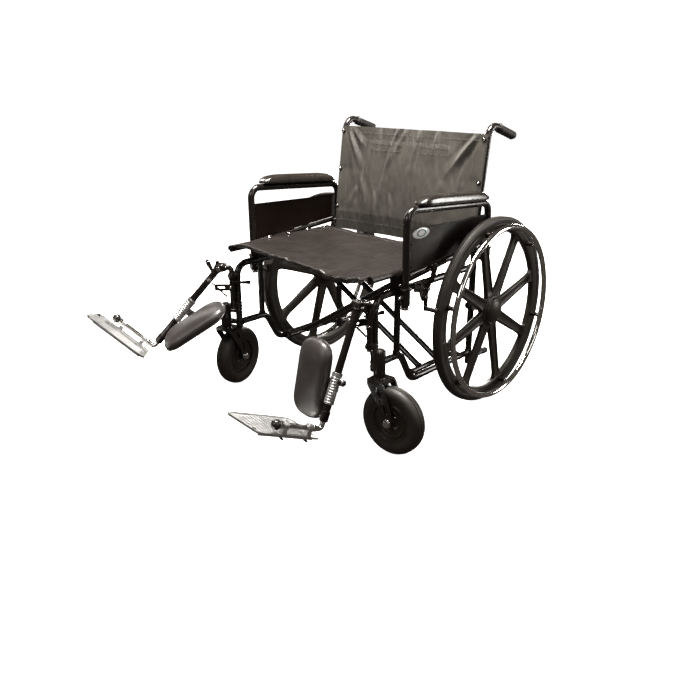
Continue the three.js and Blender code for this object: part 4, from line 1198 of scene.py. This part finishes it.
def seat_point(u, v):
    """u runs from the right rail to the left one, v from front to back; wrapped over each rail."""
    turned = max(0.0, 1 - v / HEM_SHARE)
    y = -521 + 2 * (1 - turned) + 464 * max(0.0, (v - HEM_SHARE) / (1 - HEM_SHARE))
    wrap = SEAT_WRAP
    if u < wrap or u > 1 - wrap:
        side, t = wrapped(u, wrap)
        angle = t * math.radians(112)
        r = SEAT_RAIL + 2.6
        return Vector((side * (FRAME_X + r * math.sin(angle)), y, SEAT_RAIL_Z + r * math.cos(angle)))
    share = (u - wrap) / (1 - 2 * wrap)
    x = -FRAME_X + 2 * FRAME_X * share
    near = min(1.0, v / 0.5)
    free = math.sin(math.pi * share)
    drop = HEM_DROP * min(1.0, free * 4)
    z = (between(SEAT_HEM, x) + drop) * (1 - near) + between(SEAT_BACK, x) * near
    edge = math.exp(-(v * 9))
    z -= 7 * free * math.sin(math.pi * v)
    z += 2.6 * free * noise_at(x * 0.012, y * 0.009, 4.1)
    ripple = noise_at(x * 0.045, y * 0.006, 0.7) * 1.6 + math.sin(x * 0.075 + 1.2 * math.sin(y * 0.013)) * 0.5
    z += ripple * free * (0.5 + 2.2 * edge)
    crinkle = noise_at(x * 0.07, y * 0.03, 2.6) - 0.8 * abs(noise_at(x * 0.13, y * 0.045, 8.3))
    z += 3.6 * crinkle * free * (0.30 + math.exp(-v * 8))
    z -= 2.4 * screw_pull(y, SEAT_SCREWS_Y, FRAME_X - abs(x), 16, 45, 9)
    z -= drop * turned ** 1.3
    pleats = 3.4 * noise_at(x * 0.055, 1.7, turned * 1.6) + 2.2 * abs(noise_at(x * 0.13, 6.1, turned * 2.2))
    y += pleats * min(1.0, turned * 2.5) * min(1.0, free * 4) - 2.5 * math.sin(math.pi * turned)
    return Vector((x, y, max(z, 462.0)))


def seat_sling():
    centre = chair_place(1)

    def thickness(_, v):
        return 3.8 if v < 0.055 or v > 0.95 else 2.2

    solid, grid, normals = sheet_solid(seat_point, 150, 100, thickness)
    seat = piece("seat_cover", centre, None, "seat_vinyl", [solid], ["seat_sling"], bevel=0, smooth=60)
    lines = []
    for row in (5, 95):
        facing = normals[row][8:143]
        path = [point + normal * 0.1 for point, normal in zip(grid[row][8:143], facing)]
        lines += stitch_line(path, facing)
    thread = piece("seat_cover_stitches", centre, None, "seat_vinyl", lines, bevel=0, smooth=80,
                   finish="thread")
    for made in (seat, thread):
        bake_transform(made)


BACK_TOP, BACK_BOTTOM, BACK_HALF = 853, 491, FRAME_X - 4
# Folds of the back: where each starts and ends as (x, z), its half width and its height.
BACK_FOLDS = (
    ((268, 852), (150, 700), 8, 10.0),
    ((262, 842), (206, 752), 6, 5.5),
    ((236, 780), (196, 560), 8, 4.4),
    ((-270, 846), (-204, 700), 7, 9.0),
    ((-262, 850), (-176, 770), 7, 5.0),
    ((-204, 700), (-160, 560), 9, 5.0),
    ((-264, 800), (-214, 640), 7, 5.6),
    ((-212, 650), (-244, 560), 8, 4.4),
    ((-58, 856), (-92, 700), 6, 9.0),
    ((-18, 858), (-84, 720), 7, 7.0),
    ((-84, 760), (-112, 560), 6, 6.5),
    ((34, 858), (14, 690), 6, 8.0),
    ((8, 740), (-6, 560), 7, 3.6),
    ((112, 858), (96, 740), 7, 5.0),
    ((-136, 850), (-150, 760), 7, 4.5),
    ((-132, 640), (-128, 520), 6, 4.5),
    ((-64, 640), (-50, 520), 7, 4.0),
    ((150, 700), (120, 560), 9, 3.8),
)


def fold_height(x, z):
    total = 0.0
    for (xa, za), (xb, zb), half, height in BACK_FOLDS:
        run = Vector((xb - xa, zb - za))
        share = Vector((x - xa, z - za)).dot(run) / run.length_squared
        if not 0 < share < 1:
            continue
        away = math.hypot(x - xa - share * run.x, z - za - share * run.y)
        taper = math.sin(math.pi * share ** 0.6) ** 1.3
        spread = half * (0.8 + 0.9 * share)
        crest = math.exp(-away / spread) - 0.35 * math.exp(-(((away - 2.2 * spread) / spread) ** 2))
        total += height * taper * crest
    return total


def back_point(u, v):
    """u runs from the right cane to the left one, v from the hem at the bottom to the top."""
    z = BACK_BOTTOM + (BACK_TOP - BACK_BOTTOM) * v
    base = cane_y(z)
    r = TUBE + 2.8
    wrap = BACK_WRAP
    half = BACK_HALF
    if u < wrap or u > 1 - wrap:
        side, t = wrapped(u, wrap)
        angle = t * math.radians(58)
        return Vector((side * (half + r * math.sin(angle)), base - r * math.cos(angle), z))
    share = (u - wrap) / (1 - 2 * wrap)
    x = -half + 2 * half * share
    free = math.sin(math.pi * share)
    sag = 17 * free ** 0.8 * (1 - 0.5 * math.sin(math.pi * v))
    folds = 2.4 * noise_at(x * 0.028, z * 0.004, 1.3) + 1.5 * noise_at(x * 0.07, z * 0.007, 7.9)
    folds += 1.1 * noise_at(x * 0.11, z * 0.03, 3.1)
    pocket = 0.0
    if -196 < x < 172 and z < 816:
        inset = min(x + 190, 167 - x, 810 - z)
        pocket = 1.3 if inset > 0 else 1.3 * (1 + inset / 6)
        pocket -= 1.4 * math.exp(-((inset / 3.2) ** 2))
    y = base - r + sag + folds * min(1.0, free * 2.2) - fold_height(x, z) * min(1.0, free * 6) - pocket
    y += 2.6 * screw_pull(z, BACK_SCREWS_Z, half - abs(x), 15, 40, 8)
    hem = 1.3 * noise_at(x * 0.02, 9.0, 0.4)
    return Vector((x, y, z + hem * (1 if v > 0.97 or v < 0.03 else 0.6)))


def back_sling():
    centre = chair_place(1)

    def thickness(u, v):
        doubled = v < 0.07 or v > 0.94 or abs(u - 0.5) > 0.437
        return 3.8 if doubled else 2.0

    def flipped(u, v):
        return back_point(1 - u, v)

    columns, rows = 170, 110
    solid, grid, normals = sheet_solid(flipped, columns, rows, lambda u, v: -thickness(u, v))
    sign = -1 if normals[rows // 2][columns // 2].y > 0 else 1
    outward = [[n * sign for n in line] for line in normals]
    cover = piece("back_cover", centre, None, "back_vinyl", [solid], ["back_sling"], bevel=0, smooth=60)

    def at_point(x, z):
        u = 0.5 - x / (2 * BACK_HALF) * (1 - 2 * BACK_WRAP)
        v = (z - BACK_BOTTOM) / (BACK_TOP - BACK_BOTTOM)
        normal = outward[min(rows, max(0, round(v * rows)))][min(columns, max(0, round(u * columns)))]
        return flipped(u, v) + normal * 0.2, normal

    lines = []

    def seam(corners):
        path, facing = [], []
        for (xa, za), (xb, zb) in zip(corners, corners[1:]):
            steps = max(1, int(math.hypot(xb - xa, zb - za) / 5))
            for k in range(steps + 1):
                point, normal = at_point(xa + (xb - xa) * k / steps, za + (zb - za) * k / steps)
                path.append(point)
                facing.append(normal)
        lines.extend(stitch_line(path, facing))

    seam([(-284, 832), (284, 832)])
    seam([(-284, 526), (284, 526)])
    for side in (-1, 1):
        seam([(side * 262, 514), (side * 262, 848)])
        seam([(side * 36, 778), (side * 165, 778), (side * 165, 799), (side * 36, 799), (side * 36, 778)])
    seam([(-190, 528), (-190, 790), (-184, 804), (-170, 810), (147, 810), (161, 804), (167, 790), (167, 528)])
    thread = piece("back_cover_stitches", centre, None, "back_vinyl", lines, bevel=0, smooth=80,
                   finish="thread")
    for made in (cover, thread):
        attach(made, "left_frame")
        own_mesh(made)
    cups, heads = [], []
    for z in BACK_SCREWS_Z:
        y = cane_y(z) - TUBE - 2.6
        cups.append(washer((FRAME_X - 3, y, z), FRONT, 8.4))
        heads.append(screw((FRAME_X - 3, y - 1.6, z), FRONT, 5, 3.2))
    for side, m in SIDES:
        put = maker(side, chair_place(m), "frame")
        put("back_screws", "chrome", heads, bevel=0.3)
        put("back_screw_cups", "trim_plastic", cups, bevel=0.3)


# ---------------------------------------------------------------- build
for side_name, mirror in SIDES:
    at_side = places(side_name, mirror)
    for build in (side_frame, brake_levers, rear_wheel, caster, armrest, legrest):
        build(side_name, at_side)
cross_brace()
seat_sling()
back_sling()

# ---------------------------------------------------------------- floor, light and camera
REACH, FLOOR_Z = 30, -0.0005
floor_mesh = bpy.data.meshes.new("floor")
floor_mesh.from_pydata([(x, y, FLOOR_Z) for x, y in corners(-REACH, -REACH, REACH, REACH)], [],
                       [(0, 1, 2, 3)])
floor = bpy.data.objects.new("floor", floor_mesh)
bpy.context.scene.collection.objects.link(floor)
floor_mesh.materials.append(painted(
    "floor_paint", Base_Color=(0.9, 0.9, 0.9, 1), Roughness=0.9, Specular_IOR_Level=0.05,
    Emission_Color=(1, 1, 1, 1), Emission_Strength=0.97)[0])
floor.visible_glossy = False
floor.visible_diffuse = False


def softbox(name, spot, aim, width, height, power):
    lamp = bpy.data.lights.new(name, "AREA")
    lamp.shape = "RECTANGLE"
    lamp.size = width
    lamp.size_y = height
    lamp.energy = power
    lamp.color = (1.0, 0.965, 0.92)
    made = bpy.data.objects.new(name, lamp)
    made.location = spot
    made.rotation_euler = (Vector(aim) - Vector(spot)).to_track_quat("-Z", "Y").to_euler()
    made.visible_camera = False
    bpy.context.scene.collection.objects.link(made)


softbox("overhead", (0.15, 0.0, 3.1), (0, 0.1, 0.4), 1.4, 1.0, 290)
softbox("rear_panel", (-0.95, 2.15, 0.70), (0.35, 0.1, 0.7), 1.3, 0.36, 66)
softbox("rear_strip", (2.0, 2.3, 0.9), (0.3, 0.2, 0.5), 0.4, 1.4, 24)
softbox("right_strip", (-2.6, 0.4, 2.0), (0, 0, 0.5), 0.4, 2.2, 30)
softbox("front_fill", (0.2, -3.2, 2.6), (0, 0, 0.5), 1.2, 1.0, 30)
softbox("left_strip", (3.2, -0.6, 2.2), (0, 0, 0.4), 0.4, 2.0, 18)

world = bpy.data.worlds.new("studio")
bpy.context.scene.world = world
world.use_nodes = True
sky = world.node_tree.nodes["Background"]
sky.inputs["Strength"].default_value = 1.0
# The camera sees a white room; everything else is lit by a dim warm one.
ray = world.node_tree.nodes.new("ShaderNodeLightPath")
tone = mixed(world.node_tree, ray.outputs["Is Camera Ray"], (0.08, 0.068, 0.060), (1.05, 1.05, 1.05))
world.node_tree.links.new(tone, sky.inputs["Color"])

camera_data = bpy.data.cameras.new("camera")
camera_data.lens = 38.24
camera_data.sensor_width = 36
camera = bpy.data.objects.new("camera", camera_data)
camera.location = (1.65638, -1.72565, 1.0310)
turn, dip = math.radians(41.83), math.radians(20.44)
looking = Vector((-math.sin(turn) * math.cos(dip), math.cos(turn) * math.cos(dip), -math.sin(dip)))
camera.rotation_euler = looking.to_track_quat("-Z", "Y").to_euler()
bpy.context.scene.collection.objects.link(camera)
bpy.context.scene.camera = camera
bpy.context.scene.view_settings.view_transform = "Standard"
